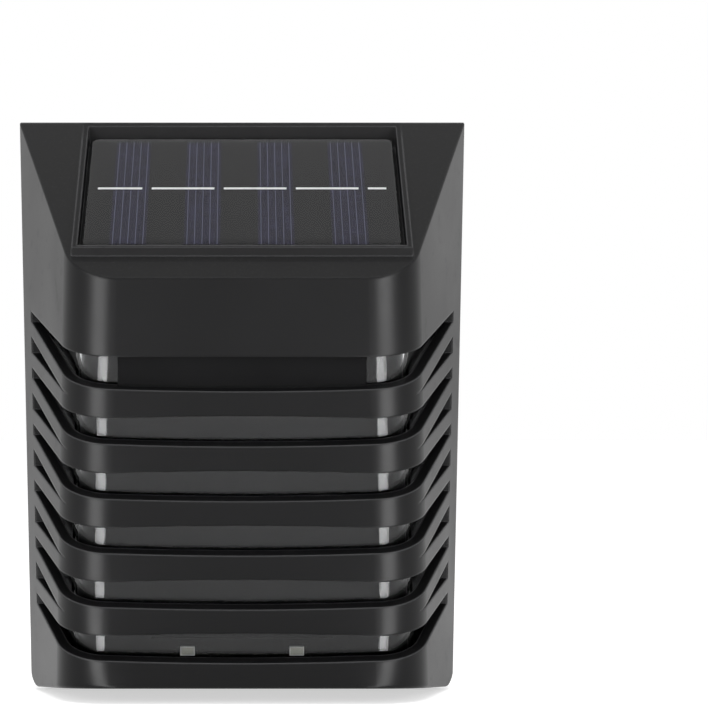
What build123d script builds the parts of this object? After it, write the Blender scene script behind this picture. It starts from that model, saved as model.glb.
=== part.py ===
from build123d import *
import os
from math import atan, cos, degrees, hypot, radians, sin, sqrt, tan

# Louvred solar fence light. Millimetres.
# Origin: centre of the flat back. +X right, +Y into the wall, +Z up.
# "depth" is the distance in front of the wall, so a point at depth d has y = -d.

# ---------------------------------------------------------------- driving sizes

# casing outline
height = 142.0
back_width_top = 112.0
back_width_bottom = 106.0
hood_edge_drop = 41.8          # hood's front edge below the top of the back
depth_top = 50.0               # at the hood's front edge
depth_bottom = 35.0            # at the front of the bottom face
bottom_rise = 3.6              # front of the bottom face above its back
side_taper = 0.326             # each side closes in by this much per mm forward
corner_radius = 13.6
hood_edge_radius = 0.5
bottom_edge_radius = 0.9
back_bottom_corner_radius = 4.0

# casing walls
side_wall = 2.6
front_wall = 3.0
top_wall = 2.2
bottom_wall = 2.2
rear_wall = 1.6                # closes the back above the back plate

# louvres: gaps between five slats, running round the front and back along both sides
gap_count = 6
rear_rib = 7.5                 # plain strip of side wall behind the slots
gap_drop_back = 47.8           # top of the first slot at the rear rib, below the top
gap_drop_front = 60.0          # top of the first gap at the front, below the top
back_band = 21.5               # plain wall under the last slot at the rear rib
front_band = 6.65              # plain band under the last gap at the front
slot_height_back = 2.7
gap_height_front = 6.05
first_gap_extra = 1.45         # the gap under the hood is taller by this
short_slot_height = 4.1        # of the slot that splits each slat on the side, at the rear rib
short_slot_setback = 5.5       # tip of a short slot behind the front face
slat_waist = 0.6               # each slat edge is cut this much closer at mid width
waist_half_span = 31.0

# solar panel
panel_width = 75.0
panel_length = 48.0
panel_tilt = 38.0              # from horizontal
panel_back_depth = 3.7         # upper edge of the resin
panel_top_drop = 4.2           # upper edge of the resin below the top of the back
panel_sink = 0.8               # resin surface below the rim
resin_thickness = 1.2
resin_corner_radius = 2.0
resin_edge_radius = 0.9
panel_board_thickness = 1.6
panel_tape_thickness = 0.4
panel_side_gap = 1.05
panel_front_gap = 1.3
rim_wall = 1.3
rim_front_wall = 0.7
pocket_back_wall = 1.4
pocket_floor = 2.0
wire_hole_radius = 2.6

# solar cells on the board
cell_count = 4
cell_width = 8.6
cell_length = 45.0
cell_pitch = 17.5
cells_shift = -0.7             # the row of cells sits a little left of centre
cell_thickness = 0.2
ribbon_width = 0.8
ribbon_thickness = 0.1
ribbon_offset = 1.4            # above the middle of the cells, up the slope
ribbon_reach = 35.0            # outer ends of the first and last ribbon, from centre
ribbon_end_gap = 1.6           # a ribbon stops this far inside a cell's right edge
ribbon_start_gap = 0.7         # and the next one starts this far outside it

# clear tub behind the louvres
lens_gap = 1.0                 # to the casing's side walls
lens_front_gap = 1.5           # to the back of the louvres
lens_wall = 1.5
pad_half_width = 5.0           # pads inside the casing that the tub is pressed against
pad_x = 18.0
foot_pads = 0.2, 1.8           # lower pads, from and to above the tub's foot
hood_pads = 11.0, 6.0          # upper pads, from and to below the tub's top
pad_root = 0.5                 # pads start this far inside the front wall
shade_half_width = 29.0        # black shade that closes the middle of the first gap
shade_thickness = 1.2
shade_overlap = 1.6            # behind the hood and behind the first louvre
lens_top_drop = 45.0           # tub below the top of the back
lens_foot_rise = 8.1           # tub above the foot of the back
gasket_thickness = 0.6
gasket_overlap = 0.15          # past the tub's rim, inside and out
tub_corner_radius = 10.0

# black carrier inside the tub, with the light emitting chips near its foot
carrier_gap = 0.6
carrier_wall = 1.4
carrier_front_inset = 14.0
carrier_end_gap = 0.5
carrier_corner_radius = 9.0
carrier_post_pilot = 9.0       # depth of the screw hole in a post
led_board_width = 44.0
led_board_height = 4.6
led_board_thickness = 1.0
led_board_rise = 4.3           # middle of the light board above the tub's foot
led_rise = 3.6                 # middle of the chips above the tub's foot
led_spacing = 26.4
led_width = 3.5
led_height = 2.2
led_thickness = 0.8
carrier_post_x = 27.0
carrier_post_rise = 24.9       # above the tub's foot
carrier_post_radius = 2.6
wire_port_half_width = 10.0    # opening in the roofs of the tub and the carrier
wire_port_half_depth = 2.5
led_wire_rise = 4.9            # above the tub's foot
led_wire_port_width = 8.0      # hole behind the light board
led_wire_port_height = 2.6

# back plate
plate_thickness = 3.0
plate_gap = 0.25
plate_top_drop = 11.0          # below the top of the back
screw_side_top = 10.0          # upper screws inside the back's upper corners
screw_drop = 17.5
screw_side_bottom = 8.5        # lower screws inside the back's lower corners
screw_rise = 5.4
screw_radius = 1.15
screw_length = 10.0
screw_head_radius = 1.9
screw_head_height = 1.2
screw_recess = 1.4
screw_clearance = 0.2
pilot_gap = 0.05
boss_radius = 2.3
boss_length = 11.0
cross_width = 0.5              # cross recess in a screw's head
cross_depth = 0.6

# keyholes for the wall screws
keyhole_side = 16.0            # inside the back's upper corners
keyhole_seat_drop = 28.0       # below the top of the back
keyhole_run = 9.0              # head entry below the seat
keyhole_slot_radius = 2.2
keyhole_entry_radius = 4.4
keyhole_cup_depth = 5.0
keyhole_cup_wall = 1.2

# battery: one AAA cell lying across, behind a door in the back plate
cell_radius = 5.25
battery_length = 44.5
battery_drop = 33.0            # below the top of the back
battery_clear = 4.35           # from the wall to the battery's near side
well_gap = 0.5
well_wall = 1.5
contact_thickness = 0.4
contact_half_width = 4.5
contact_tail_half_width = 1.2
contact_tail_length = 1.2      # past the outside of the well's floor
tail_gap = 0.2
spring_wire_radius = 0.35
spring_radius = 3.2
spring_turns = 3
spring_room = 4.6
nub_radius = 1.9
nub_height = 1.0
door_overlap_z = 2.6
door_overlap_left = 3.0
door_overlap_right = 9.0
door_thickness = 1.5
door_gap = 0.3                 # all round the door and under its seal
door_seal_thickness = 0.5
door_seal_width = 1.6
door_screw_radius = 1.0
door_screw_head_radius = 2.0
door_screw_head_height = 0.9
door_screw_recess = 1.0
door_screw_length = 7.0
door_boss_radius = 2.2
door_rib_x = 12.0
door_rib_width = 1.5
door_rib_gap = 0.6             # between a rib and the battery

# control board and switch
board_width = 40.0
board_height = 26.0
board_drop = 23.0              # middle of the board below the tub's top
board_depth = 8.0
board_thickness = 1.6
standoff_radius = 2.4
standoff_x = 16.0
standoff_y = -9.0              # from the middle of the board, as are the next places
board_screw_radius = 0.9
board_screw_head_radius = 1.8
board_screw_head_height = 1.2
board_screw_length = 5.0
switch_y = 6.0
switch_width = 8.6
switch_height = 3.6
switch_body_depth = 3.5
switch_travel = 2.0
knob_width = 2.0
knob_height = 1.6
knob_tip_depth = 0.5
knob_gap = 0.2
knob_foot_width = 3.2
knob_foot_height = 2.2
knob_foot_depth = 1.5
switch_face = 0.8
switch_pin_radius = 0.3
switch_pin_pitch = 2.5
switch_pin_length = 2.6
window_gap = 0.6
finger_recess_width = 14.0
finger_recess_height = 9.0
finger_recess_depth = 2.0

# parts on the control board's front
chip_width = 4.9
chip_height = 3.9
chip_thickness = 1.5
chip_leg_pitch = 1.27
choke_radius = 1.7
choke_length = 7.0
capacitor_radius = 2.5
capacitor_height = 7.0
lead_radius = 0.3
lead_inset = 1.0               # from the choke's ends
chip_leg_width = 0.4
chip_leg_reach = 1.0
chip_x = -9.0
chip_y = -2.0
choke_x = 0.0
choke_y = -8.5
capacitor_x = 13.5
capacitor_y = 2.0

# wires
wire_radius = 0.55
wire_bend = 2.0
wire_clear = 1.2               # straight run past an edge before a bend
wire_run = 3.95                # from a battery contact's tail to the wires' way down
wire_drop = 8.0                # bend of the panel wires above the tub
wire_rise = 4.0                # run out of the control board before the first bend
wire_foot_y = 10.0             # where wires from above meet the control board
panel_wire_x = 1.3
battery_wire_x = 7.5
led_wire_x = 1.5

# ---------------------------------------------------------------- derived values

half_height = height / 2
side_lean = (back_width_top - back_width_bottom) / 2 / height
side_stretch = sqrt(1 + side_taper**2 + side_lean**2)
hood_edge_z = half_height - hood_edge_drop
front_bottom_z = -half_height + bottom_rise
top_slope = hood_edge_drop / depth_top
top_stretch = hypot(1, top_slope)
bottom_slope = bottom_rise / depth_bottom
bottom_stretch = hypot(1, bottom_slope)
front_lean = (depth_top - depth_bottom) / (hood_edge_z - front_bottom_z)
front_stretch = hypot(1, front_lean)
over = 20.0                    # how far a cutter runs past what it cuts

first_gap_top = half_height - gap_drop_front
first_gap_foot = first_gap_top - gap_height_front - first_gap_extra
first_slot_top = half_height - gap_drop_back
last_slot_top = back_band + slot_height_back - half_height
gap_pitch_front = (first_gap_foot - front_bottom_z - front_band) / (gap_count - 1)
gap_pitch_back = (first_slot_top - last_slot_top) / (gap_count - 1)
bar_height = (gap_pitch_back - slot_height_back - short_slot_height) / 2

tilt_sin = sin(radians(panel_tilt))
tilt_cos = cos(radians(panel_tilt))
tilt_tan = tan(radians(panel_tilt))
panel_top_z = half_height - panel_top_drop
panel_front_depth = panel_back_depth + panel_length * tilt_cos
pocket_front = panel_front_depth + panel_front_gap
rim_front = pocket_front + rim_front_wall
pocket_half_width = panel_width / 2 + panel_side_gap
rim_half_width = pocket_half_width + rim_wall
panel_stack = resin_thickness + panel_board_thickness + panel_tape_thickness

lens_top = half_height - lens_top_drop
lens_bottom = lens_foot_rise - half_height
led_board_z = lens_bottom + led_board_rise
led_z = lens_bottom + led_rise
led_wire_z = lens_bottom + led_wire_rise
carrier_post_z = lens_bottom + carrier_post_rise
pad_heights = (
    (lens_bottom + foot_pads[0], lens_bottom + foot_pads[1]),
    (lens_top - hood_pads[0], lens_top - hood_pads[1]),
)
lens_side = side_wall + lens_gap
lens_front = front_wall + lens_front_gap
lens_rim_depth = plate_thickness + gasket_thickness
carrier_side = lens_side + lens_wall + carrier_gap
carrier_top = lens_top - lens_wall - carrier_end_gap
carrier_bottom = lens_bottom + lens_wall + carrier_end_gap

plate_top = half_height - plate_top_drop
screw_x_top = back_width_top / 2 - screw_side_top
screw_z_top = half_height - screw_drop
screw_x_bottom = back_width_bottom / 2 - screw_side_bottom
screw_z_bottom = screw_rise - half_height

battery_z = half_height - battery_drop
battery_depth = cell_radius + battery_clear
well_half_length = battery_length / 2 + (spring_room + contact_thickness * 2) / 2
well_half_height = cell_radius + well_gap
well_floor = battery_depth + cell_radius + well_gap
wire_port_depth = well_floor + well_wall + contact_tail_length + wire_run
door_z_half = well_half_height + door_overlap_z
door_left = -well_half_length - door_overlap_left
door_right = well_half_length + door_overlap_right
door_ledge_depth = door_thickness + door_seal_thickness + door_gap
door_screw_x = well_half_length + (door_overlap_right + well_wall) / 2
door_boss_end = door_screw_recess + door_screw_length + door_thickness
battery_left = -well_half_length + contact_thickness
battery_right = battery_left + battery_length
keyhole_x = back_width_top / 2 - keyhole_side
keyhole_seat_z = half_height - keyhole_seat_drop
keyhole_entry_z = keyhole_seat_z - keyhole_run
keyhole_floor = plate_thickness + keyhole_cup_depth
board_z = lens_top - board_drop
board_face = board_depth + board_thickness
board_top = board_z + board_height / 2
standoff_z = board_z + standoff_y
switch_z = board_z + switch_y
chip_z = board_z + chip_y
choke_z = board_z + choke_y
capacitor_z = board_z + capacitor_y
wire_foot_z = board_z + wire_foot_y
switch_depth = board_depth - switch_body_depth
panel_middle_depth = (panel_back_depth + panel_front_depth) / 2


# ---------------------------------------------------------------- geometry helpers

def at(x, depth, z):
    """Point at x, a depth in front of the wall, and z."""
    return Vector(x, -depth, z)


def top_z(depth, inset=0.0):
    """Height of the sloping top face, moved inwards by inset."""
    return half_height - top_slope * depth - inset * top_stretch


def bottom_z(depth, inset=0.0):
    """Height of the bottom face, moved inwards by inset."""
    return -half_height + bottom_slope * depth + inset * bottom_stretch


def front_depth(z, inset=0.0):
    """Depth of the leaning front face at a height, moved inwards by inset."""
    return depth_bottom + front_lean * (z - front_bottom_z) - inset * front_stretch


def half_width(depth, z, inset=0.0):
    """Half width between the side faces, moved inwards by inset."""
    leaned = back_width_top / 2 - side_lean * (half_height - z)
    return leaned - side_taper * depth - inset * side_stretch


def front_top_corner(front, top):
    """Side view corner of the front face and the top face."""
    depth = front_depth(top_z(0, top), front) / (1 + front_lean * top_slope)
    return depth, top_z(depth, top)


def front_bottom_corner(front, bottom):
    """Side view corner of the front face and the bottom face."""
    depth = front_depth(bottom_z(0, bottom), front) / (1 - front_lean * bottom_slope)
    return depth, bottom_z(depth, bottom)


def panel_z(depth, below=0.0):
    """Height of the plane a distance below the panel's surface, measured square to it."""
    return panel_top_z - (depth - panel_back_depth) * tilt_tan - below / tilt_cos


def block(x0, x1, d0, d1, z0, z1):
    """Box between two x values, two depths and two heights."""
    centre = Pos((x0 + x1) / 2, -(d0 + d1) / 2, (z0 + z1) / 2)
    return centre * Box(x1 - x0, d1 - d0, z1 - z0)


def rod(x, z, d0, d1, radius):
    """Round bar square to the wall, between two depths."""
    return Pos(x, -(d0 + d1) / 2, z) * Rot(90, 0, 0) * Cylinder(radius, d1 - d0)


def cross_rod(x0, x1, depth, z, radius):
    """Round bar along X."""
    return Pos((x0 + x1) / 2, -depth, z) * Rot(0, 90, 0) * Cylinder(radius, x1 - x0)


def side_prism(points, reach):
    """Side view outline of (depth, z) points, run from -reach to +reach along X."""
    outline = Wire.make_polygon([at(-reach, d, z) for d, z in points])
    return extrude(Face(outline), 2 * reach, dir=(1, 0, 0))


def nearest_edges(solid, points):
    """The edge whose middle is closest to each point."""
    return [min(solid.edges(), key=lambda e: ((e @ 0.5) - p).length) for p in points]


def wedge(side, front, top, bottom, back, radius):
    """Solid inside the casing's faces, each moved inwards by its own inset."""
    profile = [
        (back, top_z(back, top)),
        front_top_corner(front, top),
        front_bottom_corner(front, bottom),
        (back, bottom_z(back, bottom)),
    ]
    left = [at(-half_width(d, z, side), d, z) for d, z in profile]
    right = [at(half_width(d, z, side), d, z) for d, z in profile]
    faces = [Face(Wire.make_polygon(left)), Face(Wire.make_polygon(right))]
    for i in range(4):
        j = (i + 1) % 4
        faces.append(Face(Wire.make_polygon([left[i], left[j], right[j], right[i]])))
    solid = Solid(Shell(faces))
    corners = nearest_edges(solid, [(s[1] + s[2]) * 0.5 for s in (left, right)])
    return fillet(corners, radius)


def on_panel(x, y, z):
    """Location on the solar panel: x across, y up the slope, z out of its surface."""
    middle = Pos(0, -panel_middle_depth, panel_z(panel_middle_depth))
    return middle * Rot(panel_tilt, 0, 0) * Pos(x, y, z)


def slab(width, length, low, high, x=0.0, y=0.0):
    """Plate parallel to the solar panel, between two heights above its surface."""
    return on_panel(x, y, (low + high) / 2) * Box(width, length, high - low)


def on_front(x, z, inset, out):
    """Location parallel to the leaning front face, a distance out from an inset of it."""
    face = Pos(x, -front_depth(z, inset), z)
    return face * Rot(90 + degrees(atan(front_lean)), 0, 0) * Pos(0, 0, out)


def both_sides(solid):
    """A solid and its mirror image in X."""
    return [solid, mirror(solid, Plane.YZ)]


def cross_screw(x, z, head_depth, sizes):
    """Screw driven from the back; sizes are head radius and height, shank radius and length."""
    head_radius, head_height, shank_radius, shank_length = sizes
    shoulder = head_depth + head_height
    screw = rod(x, z, head_depth, shoulder, head_radius)
    screw += rod(x, z, shoulder, shoulder + shank_length, shank_radius)
    reach = head_radius * 0.7
    for half_x, half_z in ((reach, cross_width / 2), (cross_width / 2, reach)):
        screw -= block(
            x - half_x, x + half_x, head_depth - 1, head_depth + cross_depth, z - half_z, z + half_z
        )
    return screw


# ---------------------------------------------------------------- casing

def long_slot_line(k):
    """Lower and upper line of long slot k, each as its z at the rear rib and at the front."""
    upper_back = first_slot_top - k * gap_pitch_back
    lower_front = first_gap_foot - k * gap_pitch_front
    upper_front = lower_front + gap_height_front + (first_gap_extra if k == 0 else 0)
    return (upper_back - slot_height_back, lower_front), (upper_back, upper_front)


def line_z(line, depth):
    """Height of a slot line at a depth; the line runs from the rear rib to the front face."""
    back_z, front_z = line
    share = (depth - rear_rib) / (front_depth(front_z) - rear_rib)
    return back_z + (front_z - back_z) * share


def long_slot(k):
    """Cutter for one gap that runs round the front and along both sides."""
    lower, upper = long_slot_line(k)
    beyond = depth_top + over
    outline = [
        (rear_rib, lower[0]),
        (rear_rib, upper[0]),
        (beyond, line_z(upper, beyond)),
        (beyond, line_z(lower, beyond)),
    ]
    return side_prism(outline, back_width_top)


def short_slot(k):
    """Cutter for the tapering slot that splits slat k on both sides."""
    lower_line = long_slot_line(k)[0]
    upper_line = long_slot_line(k + 1)[1]
    tip_depth = front_depth((lower_line[1] + upper_line[1]) / 2) - short_slot_setback
    tip_z = (line_z(lower_line, tip_depth) + line_z(upper_line, tip_depth)) / 2
    outline = [
        (rear_rib, lower_line[0] - bar_height),
        (rear_rib, upper_line[0] + bar_height),
        (tip_depth, tip_z),
    ]
    return side_prism(outline, back_width_top)


def waist_cut(line, downwards):
    """Shallow arc cut into a slat's edge at the front, deepest at mid width."""
    sign = -1 if downwards else 1
    start = front_depth(line[1]) + 1
    slope = (line[0] - line[1]) / (front_depth(line[1]) - rear_rib)
    z = line_z(line, start)
    bow = ThreePointArc(
        at(-waist_half_span, start, z),
        at(0, start, z + sign * slat_waist),
        at(waist_half_span, start, z),
    )
    rest = Polyline(
        at(waist_half_span, start, z),
        at(waist_half_span, start, z - sign),
        at(-waist_half_span, start, z - sign),
        at(-waist_half_span, start, z),
    )
    reach = 1 + front_wall + lens_front_gap / 2
    return extrude(Face(Wire([bow] + rest.edges())), reach * hypot(1, slope), dir=(0, 1, slope))


def rounded_back():
    """Prism square to the wall that rounds the lower corners of the back."""
    outline = [
        Vector(-back_width_top / 2, 0, half_height),
        Vector(back_width_top / 2, 0, half_height),
        Vector(back_width_bottom / 2, 0, -half_height),
        Vector(-back_width_bottom / 2, 0, -half_height),
    ]
    prism = extrude(Face(Wire.make_polygon(outline)), depth_top + over, dir=(0, -1, 0))
    middle = -(depth_top + over) / 2
    feet = [Vector(s * back_width_bottom / 2, middle, -half_height) for s in (-1, 1)]
    return fillet(nearest_edges(prism, feet), back_bottom_corner_radius)


def casing_outside():
    """Outer form of the casing, before the rim, the hollow and the louvres."""
    body = wedge(0, 0, 0, 0, 0, corner_radius)
    for face_z, radius in ((top_z, hood_edge_radius), (bottom_z, bottom_edge_radius)):
        edges = [
            e for e in body.edges()
            if abs((e @ 0.5).Z - face_z(-(e @ 0.5).Y)) < 0.01 and (e @ 0.5).Y < -1
        ]
        body = fillet(edges, radius)
    return body & rounded_back()


def panel_tray():
    """Raised rim and floor that hold the solar panel, before the pocket is cut."""
    floor = panel_stack + pocket_floor
    outline = [
        (0, panel_z(0, floor)),
        (0, half_height),
        (rim_front, panel_z(rim_front, -panel_sink)),
        (rim_front, panel_z(rim_front, floor)),
    ]
    return side_prism(outline, rim_half_width)


def pocket():
    """Space in the tray for the solar panel, and the hole in its floor for the wires."""
    outline = [
        (pocket_back_wall, panel_z(pocket_back_wall, panel_stack)),
        (pocket_back_wall, half_height + over),
        (pocket_front, half_height + over),
        (pocket_front, panel_z(pocket_front, panel_stack)),
    ]
    hole = on_panel(0, 0, -panel_stack - pocket_floor) * Cylinder(wire_hole_radius, 4 * pocket_floor)
    return side_prism(outline, pocket_half_width) + hole


def casing_screw_places():
    """The four screws that hold the back plate to the casing."""
    return [
        (-screw_x_top, screw_z_top),
        (screw_x_top, screw_z_top),
        (-screw_x_bottom, screw_z_bottom),
        (screw_x_bottom, screw_z_bottom),
    ]


def carrier_screw_places():
    """The two screws that hold the carrier to the back plate."""
    return [(-carrier_post_x, carrier_post_z), (carrier_post_x, carrier_post_z)]


def screw_posts():
    """Bosses in the casing for the back plate's screws, each webbed to the nearest walls."""
    posts = []
    end = plate_thickness + boss_length
    half_web = rear_wall / 2
    for x, z, web_to in (
        (screw_x_top, screw_z_top, top_z(plate_thickness)),
        (screw_x_bottom, screw_z_bottom, bottom_z(plate_thickness)),
    ):
        low, high = sorted((z, web_to))
        post = rod(x, z, plate_thickness, end, boss_radius)
        post += block(x - half_web, x + half_web, plate_thickness, end, low, high)
        wall_x = half_width(plate_thickness, z)
        post += block(x, wall_x, plate_thickness, end, z - half_web, z + half_web)
        posts += both_sides(post)
    return posts


def lens_pads():
    """Pads inside the front wall that the clear tub is pressed against."""
    pads = []
    for low, high in pad_heights:
        outline = [
            (front_depth(low, front_wall - pad_root), low),
            (front_depth(low, lens_front), low),
            (front_depth(high, lens_front), high),
            (front_depth(high, front_wall - pad_root), high),
        ]
        pads += both_sides(Pos(pad_x, 0, 0) * side_prism(outline, pad_half_width))
    return pads


def gap_shade():
    """Thin wall inside the casing that closes the middle of the first gap."""
    low = first_gap_foot - shade_overlap
    high = first_gap_top + shade_overlap
    near = front_wall - pad_root
    far = front_wall + shade_thickness
    outline = [
        (front_depth(low, near), low),
        (front_depth(low, far), low),
        (front_depth(high, far), high),
        (front_depth(high, near), high),
    ]
    return side_prism(outline, shade_half_width)


def build_casing():
    """The one black moulding: hood, side walls, louvres, bottom band and panel rim."""
    outside = casing_outside()
    inner_radius = corner_radius - side_wall
    hollow = wedge(side_wall, front_wall, top_wall, bottom_wall, rear_wall, inner_radius)
    mouth = wedge(side_wall, front_wall, top_wall, bottom_wall, -1, inner_radius)
    mouth &= block(-over * 4, over * 4, -2, rear_wall + 1, -half_height, plate_top + plate_gap)
    casing = outside - hollow - mouth
    casing += panel_tray()
    for post in screw_posts():
        casing += post & outside
    casing -= pocket()
    for k in range(gap_count):
        lower, upper = long_slot_line(k)
        casing -= long_slot(k)
        casing -= waist_cut(lower, True)
        if k > 0:
            casing -= waist_cut(upper, False)
        if k < gap_count - 1:
            casing -= short_slot(k)
    for pad in lens_pads():
        casing += pad
    casing += gap_shade()
    for x, z in casing_screw_places():
        casing -= rod(x, z, 0, plate_thickness + boss_length - 1, screw_radius + pilot_gap)
    return casing


# ---------------------------------------------------------------- solar panel

def cell_centre(i):
    """Place of cell i across the panel."""
    return cells_shift + (i - (cell_count - 1) / 2) * cell_pitch


def build_cell(i):
    """One long dark cell lying on the board."""
    low = -resin_thickness
    return slab(cell_width, cell_length, low, low + cell_thickness, cell_centre(i))


def build_ribbons():
    """Flat silver ribbons that join the cells in a row, each ending on the next cell's edge."""
    rights = [cell_centre(i) + cell_width / 2 for i in range(cell_count)]
    starts = [-ribbon_reach] + [right + ribbon_start_gap for right in rights]
    ends = [right - ribbon_end_gap for right in rights] + [ribbon_reach]
    low = -resin_thickness + cell_thickness
    high = low + ribbon_thickness
    return [
        slab(end - start, ribbon_width, low, high, (start + end) / 2, ribbon_offset)
        for start, end in zip(starts, ends)
    ]


def rounded_slab(width, length, low, high):
    """Plate parallel to the panel with rounded corners."""
    outline = RectangleRounded(width, length, resin_corner_radius)
    return on_panel(0, 0, low) * extrude(outline, high - low)


def build_resin(cells, ribbons):
    """Clear poured cover over the cells, with a rounded upper edge."""
    resin = rounded_slab(panel_width, panel_length, -resin_thickness, 0)
    surface = resin.faces().sort_by(Axis((0, 0, 0), (0, -tilt_sin, tilt_cos)))[-1]
    resin = fillet(surface.edges(), resin_edge_radius)
    for piece in cells + ribbons:
        resin -= piece
    return resin


def build_panel_board():
    """Board under the cells."""
    low = -resin_thickness - panel_board_thickness
    return rounded_slab(panel_width, panel_length, low, -resin_thickness)


def build_panel_tape():
    """Sticky foam sheet under the board, open in the middle for the wires."""
    edge = 2 * resin_corner_radius
    sheet = rounded_slab(
        panel_width - edge, panel_length - edge, -panel_stack, panel_tape_thickness - panel_stack
    )
    hole = on_panel(0, 0, -panel_stack) * Cylinder(wire_hole_radius + 1, 2 * pocket_floor)
    return sheet - hole


# ---------------------------------------------------------------- clear tub and carrier

def tub(side, front, rear, low, high, radius):
    """Solid with the casing's leaning faces moved inwards, cut flat at both ends."""
    body = wedge(side, front, top_wall, bottom_wall, rear, radius)
    return body & block(-over * 4, over * 4, -over, depth_top, low, high)


def wire_port(z):
    """Opening for wires in a roof at height z."""
    near = wire_port_depth - wire_port_half_depth
    far = wire_port_depth + wire_port_half_depth
    return block(-wire_port_half_width, wire_port_half_width, near, far, z - over / 4, z + over / 4)


def build_lens():
    """Clear open-backed tub behind the louvres."""
    inner_side = lens_side + lens_wall
    inner_front = lens_front + lens_wall
    low = lens_bottom + lens_wall
    high = lens_top - lens_wall
    lens = tub(lens_side, lens_front, lens_rim_depth, lens_bottom, lens_top, tub_corner_radius)
    lens -= tub(inner_side, inner_front, 0, low, high, tub_corner_radius - lens_wall)
    return lens - wire_port(lens_top)


def build_gasket():
    """Soft ring between the back plate and the tub's rim."""
    side = lens_side - gasket_overlap
    inner_side = lens_side + lens_wall + gasket_overlap
    low = lens_bottom - gasket_overlap
    inner_low = lens_bottom + lens_wall + gasket_overlap
    high = lens_top + gasket_overlap
    inner_high = lens_top - lens_wall - gasket_overlap
    ring = tub(side, lens_front, plate_thickness, low, high, tub_corner_radius)
    ring -= tub(inner_side, lens_front, 0, inner_low, inner_high, tub_corner_radius)
    return ring & block(-over * 4, over * 4, 0, lens_rim_depth, -half_height, half_height)


def build_carrier():
    """Black open-backed shell that carries the light board and hides the wiring."""
    inset = carrier_front_inset
    low = carrier_bottom + carrier_wall
    high = carrier_top - carrier_wall
    outer = (carrier_bottom, carrier_top, carrier_corner_radius)
    inner = (low, high, carrier_corner_radius - carrier_wall)
    carrier = tub(carrier_side, inset, plate_thickness, *outer)
    carrier -= tub(carrier_side + carrier_wall, inset + carrier_wall, 0, *inner)
    for x, z in carrier_screw_places():
        root = front_depth(z, inset + carrier_wall / 2) - carrier_post_radius * front_lean
        carrier += rod(x, z, plate_thickness, root, carrier_post_radius)
        carrier -= rod(x, z, 0, plate_thickness + carrier_post_pilot, screw_radius + pilot_gap)
    port = on_front(0, led_wire_z, inset, 0)
    port *= Box(led_wire_port_width, led_wire_port_height, 4 * carrier_wall)
    return carrier - wire_port(carrier_top) - port


def build_led_board():
    """Narrow board on the carrier's leaning front, near the foot."""
    middle = on_front(0, led_board_z, carrier_front_inset, led_board_thickness / 2)
    return middle * Box(led_board_width, led_board_height, led_board_thickness)


def build_led():
    """Right hand light emitting chip."""
    out = led_board_thickness + led_thickness / 2
    middle = on_front(led_spacing / 2, led_z, carrier_front_inset, out)
    return middle * Box(led_width, led_height, led_thickness)


# ---------------------------------------------------------------- back plate

def upright_slot(x, low, high, near, far, radius):
    """Bar square to the wall with round ends, running upright between two centres."""
    outline = SlotCenterToCenter(high - low, 2 * radius)
    face = Plane.XZ * Pos(x, (low + high) / 2, near) * Rot(0, 0, 90) * outline
    return extrude(face, far - near)


def keyhole_cup(x):
    """Cup behind a keyhole that closes it towards the inside."""
    far = keyhole_floor + keyhole_cup_wall
    radius = keyhole_entry_radius + keyhole_cup_wall
    return upright_slot(x, keyhole_entry_z, keyhole_seat_z, plate_thickness, far, radius)


def keyhole_cutters(x):
    """Round entry, narrow slot above it, and the wide room behind both."""
    return [
        rod(x, keyhole_entry_z, -1, keyhole_floor, keyhole_entry_radius),
        upright_slot(x, keyhole_entry_z, keyhole_seat_z, -1, keyhole_floor, keyhole_slot_radius),
        upright_slot(
            x, keyhole_entry_z, keyhole_seat_z, plate_thickness, keyhole_floor, keyhole_entry_radius
        ),
    ]


def build_back_plate():
    """Plate that closes the casing: well for the battery, keyholes, switch window, posts."""
    plate = wedge(
        side_wall + plate_gap, front_wall, top_wall + plate_gap, bottom_wall + plate_gap, 0,
        corner_radius,
    )
    plate &= block(-over * 4, over * 4, -1, plate_thickness, -half_height, plate_top)
    well_x = well_half_length + well_wall
    well_z = well_half_height + well_wall
    plate += block(
        -well_x, well_x, plate_thickness, well_floor + well_wall, battery_z - well_z, battery_z + well_z
    )
    plate -= block(
        -well_half_length, well_half_length, -1, well_floor,
        battery_z - well_half_height, battery_z + well_half_height,
    )
    plate -= block(
        door_left - door_gap, door_right + door_gap, -1, door_ledge_depth,
        battery_z - door_z_half - door_gap, battery_z + door_z_half + door_gap,
    )
    plate -= tail_slot(-well_half_length, battery_left)
    plate -= tail_slot(well_half_length - contact_thickness, well_half_length)
    plate += rod(door_screw_x, battery_z, door_ledge_depth, door_boss_end, door_boss_radius)
    plate -= rod(door_screw_x, battery_z, 0, door_boss_end - 1, door_screw_radius + pilot_gap)
    for x in (-keyhole_x, keyhole_x):
        plate += keyhole_cup(x)
        for cutter in keyhole_cutters(x):
            plate -= cutter
    for x, z in casing_screw_places() + carrier_screw_places():
        plate -= rod(x, z, -1, screw_recess, screw_head_radius + screw_clearance)
        plate -= rod(x, z, 0, plate_thickness + 1, screw_radius + screw_clearance)
    half_recess = finger_recess_width / 2
    tall_recess = finger_recess_height / 2
    plate -= block(
        -half_recess, half_recess, -1, finger_recess_depth, switch_z - tall_recess, switch_z + tall_recess
    )
    window_x = (switch_travel + knob_width) / 2 + window_gap
    window_z = knob_height / 2 + window_gap
    plate -= block(
        -window_x, window_x, 0, plate_thickness + 1, switch_z - window_z, switch_z + window_z
    )
    for x, z in standoff_places():
        plate += rod(x, z, plate_thickness, board_depth, standoff_radius)
        plate -= rod(x, z, plate_thickness, board_depth + 1, board_screw_radius + pilot_gap)
    return plate


def standoff_places():
    """Where the control board is screwed to the back plate."""
    return [(-standoff_x, standoff_z), (standoff_x, standoff_z)]


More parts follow.
